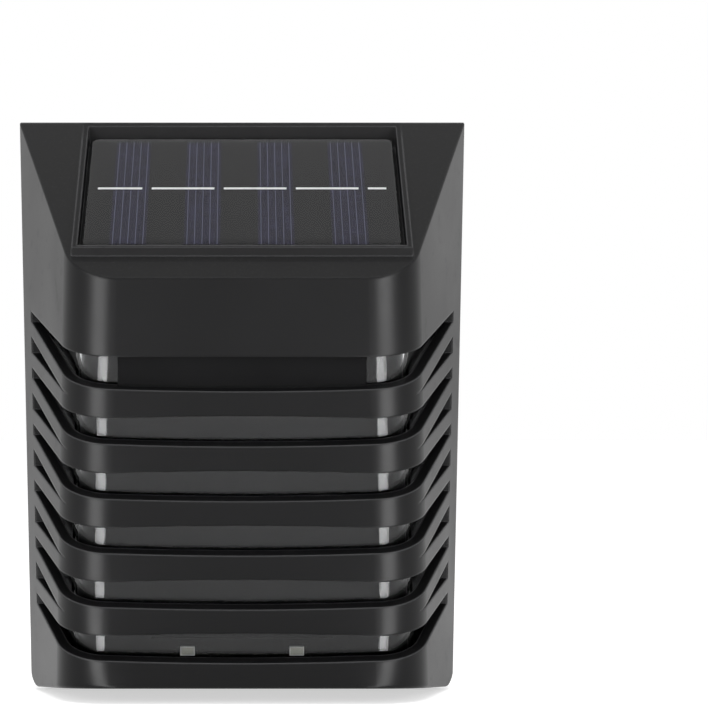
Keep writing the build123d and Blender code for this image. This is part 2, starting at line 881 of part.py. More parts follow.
def build_plate_screws():
    """The four screws from the back plate into the casing."""
    sizes = (screw_head_radius, screw_head_height, screw_radius, screw_length)
    sink = screw_recess - screw_head_height
    return [cross_screw(x, z, sink, sizes) for x, z in casing_screw_places()]


def build_carrier_screws():
    """The two screws from the back plate into the carrier's posts."""
    sizes = (screw_head_radius, screw_head_height, screw_radius, screw_length)
    sink = screw_recess - screw_head_height
    return [cross_screw(x, z, sink, sizes) for x, z in carrier_screw_places()]


# ---------------------------------------------------------------- battery and its door

def build_battery():
    """Round cell lying across, with a raised nub at its left end."""
    body_left = battery_left + nub_height
    body = cross_rod(body_left, battery_right, battery_depth, battery_z, cell_radius)
    return body + cross_rod(battery_left, body_left + 1, battery_depth, battery_z, nub_radius)


def contact_plate(x0, x1):
    """Flat metal contact at one end of the well, with a tail through the well's floor."""
    plate = block(
        x0, x1, battery_depth - contact_half_width, well_floor,
        battery_z - contact_half_width, battery_z + contact_half_width,
    )
    tail_end = well_floor + well_wall + contact_tail_length
    tail = block(
        x0, x1, well_floor - 1, tail_end,
        battery_z - contact_tail_half_width, battery_z + contact_tail_half_width,
    )
    return plate + tail


def tail_slot(x0, x1):
    """Slot in the well's floor for a contact's tail."""
    half = contact_tail_half_width + tail_gap
    return block(
        x0 - tail_gap, x1 + tail_gap, well_floor - 1, well_floor + well_wall + 1,
        battery_z - half, battery_z + half,
    )


def build_positive_contact():
    """Plain contact at the left end of the well."""
    return contact_plate(-well_half_length, battery_left)


def build_negative_contact():
    """Contact at the right end of the well."""
    return contact_plate(well_half_length - contact_thickness, well_half_length)


def build_spring():
    """Wire spring between the battery's flat end and the right hand contact."""
    free = well_half_length - contact_thickness - battery_right
    pitch = (free - 2 * spring_wire_radius) / spring_turns
    path = Helix(pitch, pitch * spring_turns, spring_radius)
    section = Plane(origin=path @ 0, z_dir=path % 0) * Circle(spring_wire_radius)
    coil = sweep(section, path=path)
    start = battery_right + spring_wire_radius
    return Pos(start, -battery_depth, battery_z) * Rot(0, 90, 0) * coil


def build_door():
    """Flat door over the battery, with two ribs that keep the battery in."""
    low = battery_z - door_z_half
    high = battery_z + door_z_half
    door = block(door_left, door_right, 0, door_thickness, low, high)
    rib_end = battery_depth - cell_radius - door_rib_gap
    for x in (-door_rib_x, door_rib_x):
        door += block(
            x - door_rib_width / 2, x + door_rib_width / 2, door_thickness, rib_end,
            battery_z - contact_half_width, battery_z + contact_half_width,
        )
    door -= rod(door_screw_x, battery_z, -1, door_screw_recess, door_screw_head_radius + door_gap)
    return door - rod(door_screw_x, battery_z, 0, 2 * door_thickness, door_screw_radius + pilot_gap)


def build_door_seal():
    """Soft ring on the door's inner face, round the mouth of the well."""
    end = door_thickness + door_seal_thickness
    x = well_half_length + door_gap
    z = well_half_height + door_gap
    wide = x + door_seal_width
    tall = z + door_seal_width
    ring = block(-wide, wide, door_thickness, end, battery_z - tall, battery_z + tall)
    return ring - block(-x, x, 0, end + 1, battery_z - z, battery_z + z)


def build_door_screw():
    """Captive screw of the battery door."""
    sizes = (door_screw_head_radius, door_screw_head_height, door_screw_radius, door_screw_length)
    return cross_screw(door_screw_x, battery_z, door_screw_recess - door_screw_head_height, sizes)


# ---------------------------------------------------------------- control board and switch

def build_control_board():
    """Board behind the back plate, on two posts."""
    board = block(
        -board_width / 2, board_width / 2, board_depth, board_face,
        board_z - board_height / 2, board_z + board_height / 2,
    )
    for x, z in standoff_places():
        board -= rod(x, z, 0, over, board_screw_radius + screw_clearance)
    for x in (-switch_pin_pitch, 0, switch_pin_pitch):
        board -= rod(x, switch_z, 0, over, switch_pin_radius + pilot_gap)
    return board


def build_board_screws():
    """The two screws that hold the control board, driven from its front."""
    screws = []
    for x, z in standoff_places():
        screw = rod(x, z, board_face, board_face + board_screw_head_height, board_screw_head_radius)
        screws.append(screw + rod(x, z, board_face - board_screw_length, board_face, board_screw_radius))
    return screws


def build_switch_body():
    """Slide switch under the control board, open towards the back for its slider."""
    body = block(
        -switch_width / 2, switch_width / 2, switch_depth, board_depth,
        switch_z - switch_height / 2, switch_z + switch_height / 2,
    )
    foot_x = (switch_travel + knob_foot_width) / 2 + knob_gap
    foot_z = knob_foot_height / 2 + pilot_gap
    foot_near = switch_depth + switch_face
    body -= block(
        -foot_x, foot_x, foot_near, foot_near + knob_foot_depth + 2 * knob_gap,
        switch_z - foot_z, switch_z + foot_z,
    )
    neck_x = (switch_travel + knob_width) / 2 + knob_gap
    neck_z = knob_height / 2 + knob_gap
    body -= block(-neck_x, neck_x, 0, foot_near + 1, switch_z - neck_z, switch_z + neck_z)
    for x in (-switch_pin_pitch, 0, switch_pin_pitch):
        body += rod(x, switch_z, board_depth - pilot_gap, board_depth + switch_pin_length, switch_pin_radius)
    return body


def build_switch_slider():
    """Slider of the switch at its left end, with a knob that reaches into the finger recess."""
    x = -switch_travel / 2
    foot_near = switch_depth + switch_face + knob_gap
    foot_far = foot_near + knob_foot_depth
    slider = block(
        x - knob_foot_width / 2, x + knob_foot_width / 2, foot_near, foot_far,
        switch_z - knob_foot_height / 2, switch_z + knob_foot_height / 2,
    )
    return slider + block(
        x - knob_width / 2, x + knob_width / 2, knob_tip_depth, foot_far,
        switch_z - knob_height / 2, switch_z + knob_height / 2,
    )


def build_driver_chip():
    """Eight legged chip on the control board's front."""
    half = chip_width / 2
    x = chip_x
    chip = block(
        x - half, x + half, board_face + pilot_gap, board_face + chip_thickness,
        chip_z - chip_height / 2, chip_z + chip_height / 2,
    )
    for i in range(4):
        leg_x = x + (i - 1.5) * chip_leg_pitch
        chip += block(
            leg_x - chip_leg_width / 2, leg_x + chip_leg_width / 2,
            board_face, board_face + chip_thickness / 2,
            chip_z - chip_height / 2 - chip_leg_reach, chip_z + chip_height / 2 + chip_leg_reach,
        )
    return chip


def build_choke():
    """Small round choke lying on the control board."""
    left = choke_x - choke_length / 2
    depth = board_face + choke_radius
    choke = cross_rod(left, left + choke_length, depth, choke_z, choke_radius)
    for x in (left + lead_inset, left + choke_length - lead_inset):
        choke += rod(x, choke_z, board_face, depth, lead_radius)
    return choke


def build_capacitor():
    """Upright round capacitor on the control board."""
    return rod(capacitor_x, capacitor_z, board_face, board_face + capacitor_height, capacitor_radius)


# ---------------------------------------------------------------- wires

def wire(points):
    """Round wire along straight runs joined by bends, through (x, depth, z) points."""
    path = FilletPolyline(*[at(*p) for p in points], radius=wire_bend)
    section = Plane(origin=path @ 0, z_dir=path % 0) * Circle(wire_radius)
    return sweep(section, path=path)


def panel_wire(x):
    """Wire from the back of the solar panel's board to the top of the control board."""
    board_back = -resin_thickness - panel_board_thickness
    out = -panel_stack - pocket_floor - wire_clear
    points = []
    middle_z = panel_z(panel_middle_depth)
    for below in (board_back, out):
        points.append((x, panel_middle_depth + below * tilt_sin, middle_z + below * tilt_cos))
    points += [
        (x, wire_port_depth, lens_top + wire_drop),
        (x, wire_port_depth, board_top + wire_clear),
        (x, board_face + wire_rise, wire_foot_z),
        (x, board_face, wire_foot_z),
    ]
    return wire(points)


def battery_wire(side):
    """Wire from a battery contact's tail to the control board, on the left (-1) or right (1)."""
    contact_x = side * (well_half_length - contact_thickness / 2)
    port_x = side * battery_wire_x
    tail = well_floor + well_wall + contact_tail_length
    return wire([
        (contact_x, tail, battery_z),
        (contact_x, wire_port_depth, battery_z),
        (port_x, wire_port_depth, lens_top + wire_clear),
        (port_x, wire_port_depth, board_top + wire_clear),
        (port_x, board_face + wire_rise, wire_foot_z),
        (port_x, board_face, wire_foot_z),
    ])


def led_wire(x):
    """Wire from the foot of the control board to the back of the light board."""
    end_depth = front_depth(led_wire_z, carrier_front_inset)
    start_z = board_z - board_height / 2 + wire_clear
    run = board_face + wire_rise
    return wire([
        (x, board_face, start_z),
        (x, run, start_z),
        (x, run, led_wire_z),
        (x, end_depth + led_board_thickness / 2, led_wire_z),
    ])


# ---------------------------------------------------------------- all the pieces

cells = [build_cell(i) for i in range(cell_count)]
ribbons = build_ribbons()
led_board = build_led_board()
led_left_piece, led_right_piece = reversed(both_sides(build_led()))

pieces = {
    "louvre_casing": build_casing(),
    "solar_panel_board": build_panel_board(),
    "panel_resin": build_resin(cells, ribbons),
    "panel_tape": build_panel_tape(),
    "clear_lens": build_lens(),
    "lens_gasket": build_gasket(),
    "led_carrier": build_carrier(),
    "led_board": led_board,
    "led_left": led_left_piece,
    "led_right": led_right_piece,
    "back_plate": build_back_plate(),
    "back_plate_screws": Compound(children=build_plate_screws()),
    "carrier_screws": Compound(children=build_carrier_screws()),
    "control_board": build_control_board(),
    "control_board_screws": Compound(children=build_board_screws()),
    "driver_chip": build_driver_chip(),
    "choke_coil": build_choke(),
    "capacitor": build_capacitor(),
    "switch_body": build_switch_body(),
    "switch_slider": build_switch_slider(),
    "battery_cell": build_battery(),
    "battery_positive_contact": build_positive_contact(),
    "battery_negative_contact": build_negative_contact(),
    "battery_spring": build_spring(),
    "battery_door": build_door(),
    "battery_door_seal": build_door_seal(),
    "battery_door_screw": build_door_screw(),
    "panel_wire_red": panel_wire(panel_wire_x),
    "panel_wire_black": panel_wire(-panel_wire_x),
    "battery_wire_red": battery_wire(-1),
    "battery_wire_black": battery_wire(1),
    "led_wire_red": led_wire(led_wire_x) - led_board,
    "led_wire_black": led_wire(-led_wire_x) - led_board,
}
for i, cell in enumerate(cells):
    pieces[f"solar_cell_{i + 1}"] = cell
for i, ribbon in enumerate(ribbons):
    pieces[f"cell_ribbon_{i + 1}"] = ribbon

os.makedirs("parts", exist_ok=True)
for name, solid in pieces.items():
    print(f"{name:26s} {len(solid.solids())} {solid.is_valid} {solid.volume:10.2f}")
    export_step(solid, f"parts/{name}.step")
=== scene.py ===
"""Looks of a louvred solar fence light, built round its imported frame.

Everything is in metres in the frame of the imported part: +X right, +Y into the wall, +Z up, with the
origin at the centre of the flat back.
"""

import logging
import math
from dataclasses import dataclass
from enum import Enum

import bmesh
import bpy
from mathutils import Euler, Matrix, Vector


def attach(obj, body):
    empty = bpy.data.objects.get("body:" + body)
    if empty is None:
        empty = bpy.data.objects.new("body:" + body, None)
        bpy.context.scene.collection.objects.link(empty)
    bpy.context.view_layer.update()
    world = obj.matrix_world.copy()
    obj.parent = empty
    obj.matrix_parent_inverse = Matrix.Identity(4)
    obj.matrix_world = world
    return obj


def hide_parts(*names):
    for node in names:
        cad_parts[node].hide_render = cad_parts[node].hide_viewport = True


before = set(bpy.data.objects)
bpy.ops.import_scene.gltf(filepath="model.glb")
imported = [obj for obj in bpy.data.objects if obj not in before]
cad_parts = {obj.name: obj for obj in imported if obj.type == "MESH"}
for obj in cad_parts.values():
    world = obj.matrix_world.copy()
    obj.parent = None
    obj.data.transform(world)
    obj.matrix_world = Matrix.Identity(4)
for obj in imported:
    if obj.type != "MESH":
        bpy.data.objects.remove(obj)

MM = 0.001

Colour = tuple[float, float, float]
Socket = bpy.types.NodeSocket

WHITE = (1.0, 1.0, 1.0, 1.0)
BLACK: Colour = (0.0, 0.0, 0.0)
DUST: Colour = (0.22, 0.21, 0.2)
FINE_DEPTH = 0.002 * MM

log = logging.getLogger("fence_light")


# ------------------------------------------------------------------ node trees

class Graph:
    """Short way to place and join the nodes of one tree."""

    def __init__(self, tree: bpy.types.NodeTree) -> None:
        """Starts on an empty tree.

        Args:
            tree: The node tree that the nodes go into.
        """
        self.tree = tree
        tree.nodes.clear()

    def add(self, kind: str, inputs: dict | None = None, **settings: object) -> bpy.types.Node:
        """Adds one node.

        Args:
            kind: Blender's name for the node's type.
            inputs: Socket name or number to a value, or to the output socket that feeds it.
            settings: Attributes of the node itself.

        Returns:
            The new node.
        """
        node = self.tree.nodes.new(kind)
        for name, value in settings.items():
            setattr(node, name, value)
        for key, value in (inputs or {}).items():
            socket = node.inputs[key]
            if isinstance(value, Socket):
                self.tree.links.new(value, socket)
            else:
                socket.default_value = value
        return node

    def math(self, operation: str, *values: object, clamp: bool = False) -> Socket:
        """Adds a Math node.

        Args:
            operation: Blender's name for the operation.
            values: Its inputs, each a number or an output socket.
            clamp: Whether the result is held from 0 to 1.

        Returns:
            The node's output.
        """
        inputs = dict(enumerate(values))
        return self.add("ShaderNodeMath", inputs, operation=operation, use_clamp=clamp).outputs[0]

    def ramp(
        self, value: object, low: float, high: float, start: float = 0.0, end: float = 1.0
    ) -> Socket:
        """Maps low..high smoothly to start..end.

        Args:
            value: The output socket to read.
            low: Value that gives start.
            high: Value that gives end.
            start: Result at low.
            end: Result at high.

        Returns:
            The mapped output.
        """
        node = self.add(
            "ShaderNodeMapRange",
            {"Value": value, "From Min": low, "From Max": high, "To Min": start, "To Max": end},
            interpolation_type="SMOOTHSTEP",
        )
        return node.outputs[0]

    def blend(self, share: object, first: object, second: object) -> Socket:
        """Mixes two colours.

        Args:
            share: How much of the second colour shows, a number or an output socket.
            first: Colour or output socket shown at 0.
            second: Colour or output socket shown at 1.

        Returns:
            The mixed colour.
        """
        node = self.add("ShaderNodeMix", {0: share}, data_type="RGBA")
        for socket, value in ((node.inputs[6], first), (node.inputs[7], second)):
            if isinstance(value, Socket):
                self.tree.links.new(value, socket)
            else:
                socket.default_value = (*value, 1.0)
        return node.outputs[2]

    def noise(self, place: object, scale: object, **inputs: float) -> Socket:
        """Adds a noise texture.

        Args:
            place: Output socket that gives the coordinates.
            scale: Its scale per metre, a number or an output socket.
            inputs: Its other inputs.

        Returns:
            The noise.
        """
        return self.add("ShaderNodeTexNoise", {"Vector": place, "Scale": scale, **inputs}).outputs[0]

    def parts(self, vector: object) -> tuple[Socket, ...]:
        """Splits a vector.

        Args:
            vector: Output socket that gives it.

        Returns:
            Its x, y and z.
        """
        return tuple(self.add("ShaderNodeSeparateXYZ", {0: vector}).outputs)

    def within(self, value: object, reach: float, blend: float) -> Socket:
        """Tells where a length lies near 0.

        Args:
            value: Output socket that gives the length, in metres.
            reach: How far from 0 it may be, in mm.
            blend: Width over which the result falls from 1 to 0, in mm.

        Returns:
            1 inside, 0 outside.
        """
        return self.ramp(self.math("ABSOLUTE", value), reach * MM, (reach + blend) * MM, 1, 0)


def new_group(
    name: str, inputs: dict[str, object], outputs: dict[str, str]
) -> tuple[Graph, bpy.types.Node]:
    """Makes an empty shader node group with named sockets.

    Args:
        name: The group's name.
        inputs: Socket name to its default value, or to None for a vector.
        outputs: Socket name to the socket's type.

    Returns:
        The group's graph and its input node.
    """
    tree = bpy.data.node_groups.new(name, "ShaderNodeTree")
    graph = Graph(tree)
    for socket_name, value in inputs.items():
        kind = "NodeSocketVector" if value is None else "NodeSocketFloat"
        socket = tree.interface.new_socket(socket_name, in_out="INPUT", socket_type=kind)
        if value is not None:
            socket.default_value = value
    for socket_name, kind in outputs.items():
        tree.interface.new_socket(socket_name, in_out="OUTPUT", socket_type=kind)
    return graph, graph.add("NodeGroupInput")


# how close the flow marks, hand marks and dust specks lie, and how much each changes a surface
FLOWS_PER_MM = 0.03
MARKS_PER_MM = 0.22
SPECKS_PER_MM = 1.4
FLOW_GLOSS = 0.16
FLOW_SHADE = 0.3
MARK_GLOSS = 0.035
LINE_STRETCH = (0.06, 1.0, 1.0)
LINE_GLOSS = 0.25


def mould_grain_group() -> bpy.types.NodeTree:
    """Fine grain of moulded plastic, with faint flow marks and hand marks.

    Returns:
        Group with Height, Gloss Change and Shade outputs.
    """
    graph, given = new_group(
        "mould_grain",
        {"Place": None, "Grains per mm": 3.0, "Mark Amount": 1.0},
        {"Height": "NodeSocketFloat", "Gloss Change": "NodeSocketFloat", "Shade": "NodeSocketFloat"},
    )
    place = given.outputs["Place"]
    scale = graph.math("MULTIPLY", given.outputs["Grains per mm"], 1 / MM)
    grain = graph.noise(place, scale, Detail=2.0, Roughness=0.6)
    flow = graph.noise(place, FLOWS_PER_MM / MM, Detail=3.0, Distortion=0.6)
    marks = graph.noise(place, MARKS_PER_MM / MM, Detail=4.0, Roughness=0.65)
    marked = graph.math("MULTIPLY", graph.ramp(marks, 0.55, 0.72), MARK_GLOSS)
    centred = graph.math("SUBTRACT", flow, 0.5)
    gloss = graph.math("MULTIPLY_ADD", centred, FLOW_GLOSS, marked)
    graph.add(
        "NodeGroupOutput",
        {
            "Height": grain,
            "Gloss Change": graph.math("MULTIPLY", gloss, given.outputs["Mark Amount"]),
            "Shade": graph.math("MULTIPLY_ADD", centred, FLOW_SHADE, 1.0),
        },
    )
    return graph.tree


def settled_dust_group() -> bpy.types.NodeTree:
    """Thin dust that lies on faces that look upwards.

    Returns:
        Group with a Mask output.
    """
    inputs = {"Place": None, "Amount": 0.3}
    graph, given = new_group("settled_dust", inputs, {"Mask": "NodeSocketFloat"})
    up = graph.parts(graph.add("ShaderNodeNewGeometry").outputs["Normal"])[2]
    specks = graph.noise(given.outputs["Place"], SPECKS_PER_MM / MM, Detail=3.0, Roughness=0.7)
    both = graph.math("MULTIPLY", graph.ramp(up, 0.35, 0.95), graph.ramp(specks, 0.5, 0.8))
    graph.add("NodeGroupOutput", {"Mask": graph.math("MULTIPLY", both, given.outputs["Amount"])})
    return graph.tree


def drawn_lines_group() -> bpy.types.NodeTree:
    """Fine drawn lines of metal strip and wire.

    Returns:
        Group with Height and Gloss Change outputs.
    """
    graph, given = new_group(
        "drawn_lines",
        {"Place": None, "Lines per mm": 6.0},
        {"Height": "NodeSocketFloat", "Gloss Change": "NodeSocketFloat"},
    )
    stretched = graph.add(
        "ShaderNodeVectorMath", {0: given.outputs["Place"], 1: LINE_STRETCH}, operation="MULTIPLY"
    )
    scale = graph.math("MULTIPLY", given.outputs["Lines per mm"], 1 / MM)
    lines = graph.noise(stretched.outputs[0], scale, Detail=2.0)
    centred = graph.math("SUBTRACT", lines, 0.5)
    gloss = graph.math("MULTIPLY", centred, LINE_GLOSS)
    graph.add("NodeGroupOutput", {"Height": lines, "Gloss Change": gloss})
    return graph.tree


class Effect(Enum):
    """Shared effects that finishes are made with, each one shader node group."""

    MOULD_GRAIN = "mould_grain"
    SETTLED_DUST = "settled_dust"
    DRAWN_LINES = "drawn_lines"


EFFECTS: dict[Effect, bpy.types.NodeTree] = {
    Effect.MOULD_GRAIN: mould_grain_group(),
    Effect.SETTLED_DUST: settled_dust_group(),
    Effect.DRAWN_LINES: drawn_lines_group(),
}


class Paint:
    """One material under way: its graph, its shader and its place coordinates."""

    def __init__(self, name: str, **shader: object) -> None:
        """Makes a material with one principled shader.

        Args:
            name: The material's name.
            shader: Plain socket values of the shader, with _ for a space.
        """
        self.material = bpy.data.materials.new(name)
        self.material.use_nodes = True
        self.graph = Graph(self.material.node_tree)
        self.shader = self.graph.add("ShaderNodeBsdfPrincipled")
        for socket, value in shader.items():
            self.shader.inputs[socket.replace("_", " ")].default_value = value
        self.graph.add("ShaderNodeOutputMaterial", {"Surface": self.shader.outputs[0]})
        self.place = self.graph.add("ShaderNodeTexCoord").outputs["Object"]

    def effect(self, effect: Effect, **inputs: object) -> bpy.types.NodeOutputs:
        """Places a shared effect in the material.

        Args:
            effect: Which effect.
            inputs: Its inputs, with _ for a space.

        Returns:
            The outputs of the placed group.
        """
        node = self.graph.add("ShaderNodeGroup", node_tree=EFFECTS[effect])
        self.graph.tree.links.new(self.place, node.inputs["Place"])
        for name, value in inputs.items():
            node.inputs[name.replace("_", " ")].default_value = value
        return node.outputs

    def feed(self, socket: str, source: Socket) -> None:
        """Joins an output to one of the shader's sockets."""
        self.graph.tree.links.new(source, self.shader.inputs[socket])

    def bump(self, height: Socket, depth: float, normal: Socket | None = None) -> None:
        """Raises the surface by a height.

        Args:
            height: Output that goes from 0 to 1.
            depth: How far 1 stands out, in metres.
            normal: Output that gives the normal to start from, if not the surface's own.
        """
        inputs: dict[str, object] = {"Height": height, "Distance": depth, "Strength": 1.0}
        if normal is not None:
            inputs["Normal"] = normal
        self.feed("Normal", self.graph.add("ShaderNodeBump", inputs).outputs[0])

    def place_parts(self) -> tuple[Socket, ...]:
        """The x, y and z of the place coordinates."""
        return self.graph.parts(self.place)


# ------------------------------------------------------------------ finishes

@dataclass(frozen=True)
class MouldedPlastic:
    """Satin moulded plastic.

    Attributes:
        name: The material's name.
        colour: Its colour.
        roughness: Mean roughness.
        grains_per_mm: How fine the grain is.
        grain_depth: How deep the grain is, in mm.
        dust: How much dust lies on upward faces.
        gloss: Specular level.
    """

    name: str
    colour: Colour
    roughness: float
    grains_per_mm: float = 3.0
    grain_depth: float = 0.002
    dust: float = 0.0
    gloss: float = 0.5

    def material(self) -> bpy.types.Material:
        """Builds the material."""
        paint = Paint(self.name, Specular_IOR_Level=self.gloss)
        grain = paint.effect(Effect.MOULD_GRAIN, Grains_per_mm=self.grains_per_mm)
        colour = paint.graph.blend(grain["Shade"], BLACK, self.colour)
        if self.dust > 0:
            dust = paint.effect(Effect.SETTLED_DUST, Amount=self.dust)
            colour = paint.graph.blend(dust["Mask"], colour, DUST)
        paint.feed("Base Color", colour)
        paint.feed("Roughness", paint.graph.math("ADD", grain["Gloss Change"], self.roughness))
        paint.bump(grain["Height"], self.grain_depth * MM)
        return paint.material


@dataclass(frozen=True)
class CasingPlastic:
    """Black satin plastic of the casing, with a coarser texture on the panel's rim.

    Attributes:
        name: The material's name.
        colour: Its colour.
        gloss: Specular level.
        roughness: Roughness of the smooth faces.
        rim_roughness: Roughness of the textured rim.
        ledge_roughness: Roughness of the louvres' flat tops and of the first gap's wall.
        rim_half_width: Half width of the rim, in mm.
        rim_foot: Height that the rim starts at, in mm.
        rim_blend: Width over which the rim's texture fades, in mm.
        grains_per_mm: How fine the grain of all faces is.
        rim_grains_per_mm: How fine the rim's own grain is.
        rim_grain_share: How many times deeper the rim's grain is.
        grain_depth: How deep the grain of all faces is, in mm.
        dust: How much dust lies on upward faces.
        dust_colour: Colour of that dust.
        edge_radius: Rounding that the edges catch light with, in mm.
        edge_samples: Rays that find the rounding.
        edge_turn: How far rounded and flat normal agree where the painted edge highlight starts and where
            it is full.
        edge_lift: How far up the rounded normal points where the painted edge highlight starts and where
            it is full.
        painted_edge_highlight_colour: Colour of upward edges, a painted highlight lighter than the casing.
        ledge_lift: How far up a normal points where a ledge starts and where it is full.
        painted_recess_shade_colour: Painted shade of the recessed wall that closes the middle of the first
            gap, darker than the casing.
        shade_centre: Height of that wall's middle, in mm.
        shade_half_height: Half its height, in mm.
        shade_half_width: Half its width, in mm.
        shade_blend: Width over which its colour fades, in mm.
        shade_inset: How far behind the casing's front its painted shade starts and is full, in mm.
        front_lean: How far the front moves back for each mm down.
        front_offset: The front's distance from the wall at height 0, in mm.
    """

    name: str = "casing_plastic"
    colour: Colour = (0.0042, 0.0042, 0.0045)
    gloss: float = 0.14
    roughness: float = 0.33
    rim_roughness: float = 0.6
    ledge_roughness: float = 0.9
    rim_half_width: float = 39.8
    rim_foot: float = 33.0
    rim_blend: float = 0.4
    grains_per_mm: float = 2.6
    rim_grains_per_mm: float = 1.3
    rim_grain_share: float = 20.0
    grain_depth: float = 0.0022
    dust: float = 0.05
    dust_colour: Colour = (0.2, 0.2, 0.2)
    edge_radius: float = 0.7
    edge_samples: int = 6
    edge_turn: tuple[float, float] = (0.995, 0.85)
    edge_lift: tuple[float, float] = (-0.1, 0.4)
    # painted highlight: upward edges are lighter, as if light from above caught them
    painted_edge_highlight_colour: Colour = (0.075, 0.075, 0.078)
    ledge_lift: tuple[float, float] = (0.97, 0.995)
    # painted shade: the recessed wall of the first gap is darker than the casing
    painted_recess_shade_colour: Colour = (0.0014, 0.0014, 0.0016)
    shade_centre: float = 7.25
    shade_half_height: float = 4.4
    shade_half_width: float = 29.1
    shade_blend: float = 0.1
    shade_inset: tuple[float, float] = (1.8, 2.2)
    front_lean: float = 0.1553
    front_offset: float = 45.47

    def rim_mask(self, paint: Paint) -> Socket:
        """1 on the panel's rim, else 0."""
        x, _, z = paint.place_parts()
        across = paint.graph.within(x, self.rim_half_width, self.rim_blend)
        above = paint.graph.ramp(z, self.rim_foot * MM, (self.rim_foot + self.rim_blend) * MM)
        return paint.graph.math("MULTIPLY", across, above)

    def painted_recess_shade_mask(self, paint: Paint) -> Socket:
        """Painted shade mask: 1 on the recessed wall that closes the middle of the first gap, else 0."""
        graph = paint.graph
        x, y, z = paint.place_parts()
        inset = graph.math("MULTIPLY_ADD", z, self.front_lean, y)
        inset = graph.math("ADD", inset, self.front_offset * MM)
        behind = graph.ramp(inset, *(reach * MM for reach in self.shade_inset))
        level = graph.math("SUBTRACT", z, self.shade_centre * MM)
        middle = graph.within(x, self.shade_half_width, self.shade_blend)
        inner = graph.within(level, self.shade_half_height, self.shade_blend)
        return graph.math("MULTIPLY", behind, graph.math("MULTIPLY", middle, inner))

    def painted_edge_highlight_mask(self, graph: Graph, rounded: Socket, flat: Socket) -> Socket:
        """Painted highlight mask: 1 on upward edges, where the rounded normal turns away from the flat
        one, else 0.
        """
        agree = graph.add("ShaderNodeVectorMath", {0: rounded, 1: flat}, operation="DOT_PRODUCT")
        turned = graph.ramp(agree.outputs["Value"], *self.edge_turn)
        return graph.math("MULTIPLY", turned, graph.ramp(graph.parts(rounded)[2], *self.edge_lift))

    def material(self) -> bpy.types.Material:
        """Builds the material."""
        paint = Paint(self.name, IOR=1.5, Specular_IOR_Level=self.gloss)
        graph = paint.graph
        radius = self.edge_radius * MM
        rounded = graph.add("ShaderNodeBevel", {"Radius": radius}, samples=self.edge_samples).outputs[0]
        flat = graph.add("ShaderNodeNewGeometry").outputs["Normal"]
        rim = self.rim_mask(paint)
        shade = self.painted_recess_shade_mask(paint)
        ledge = graph.ramp(graph.parts(flat)[2], *self.ledge_lift)
        fine = paint.effect(Effect.MOULD_GRAIN, Grains_per_mm=self.grains_per_mm)
        coarse = paint.effect(Effect.MOULD_GRAIN, Grains_per_mm=self.rim_grains_per_mm)
        dust = paint.effect(Effect.SETTLED_DUST, Amount=self.dust)
        colour = graph.blend(fine["Shade"], BLACK, self.colour)
        # painted highlight on upward edges
        colour = graph.blend(self.painted_edge_highlight_mask(graph, rounded, flat), colour, self.painted_edge_highlight_colour)
        # painted shade on the recessed wall of the first gap
        colour = graph.blend(shade, colour, self.painted_recess_shade_colour)
        paint.feed("Base Color", graph.blend(dust["Mask"], colour, self.dust_colour))
        rough = graph.math("MULTIPLY_ADD", rim, self.rim_roughness - self.roughness, self.roughness)
        for dull in (ledge, shade):
            rough = graph.math("MULTIPLY_ADD", dull, self.ledge_roughness - self.roughness, rough)
        paint.feed("Roughness", graph.math("ADD", rough, fine["Gloss Change"]))
        raised = graph.math("MULTIPLY", coarse["Height"], self.rim_grain_share)
        height = graph.math("ADD", fine["Height"], graph.math("MULTIPLY", raised, rim))
        paint.bump(height, self.grain_depth * MM, rounded)
        return paint.material


@dataclass(frozen=True)
class ClearPlastic:
    """Clear plastic or poured resin.

    Attributes:
        name: The material's name.
        tint: Colour of the light that passes.
        roughness: How cloudy it is.
        ior: How strongly it bends light.
        ripple: Depth of its surface ripple, in mm.
        ripples_per_mm: How close the ripples lie.
        mark_amount: How strong its flow marks and hand marks are.
        smoke: Share of the tint that the darker ripples keep.
    """

    name: str
    tint: Colour
    roughness: float
    ior: float = 1.49
    ripple: float = 0.004
    ripples_per_mm: float = 0.12
    mark_amount: float = 0.1
    smoke: float = 0.94

    def material(self) -> bpy.types.Material:
        """Builds the material."""
        paint = Paint(self.name, IOR=self.ior, Transmission_Weight=1.0)
        graph = paint.graph
        grain = paint.effect(
            Effect.MOULD_GRAIN, Grains_per_mm=self.ripples_per_mm, Mark_Amount=self.mark_amount
        )
        smoky = tuple(self.smoke * share for share in self.tint)
        paint.feed("Base Color", graph.blend(grain["Height"], self.tint, smoky))
        paint.feed("Roughness", graph.math("ADD", grain["Gloss Change"], self.roughness, clamp=True))
        paint.bump(grain["Height"], self.ripple * MM)
        return paint.material


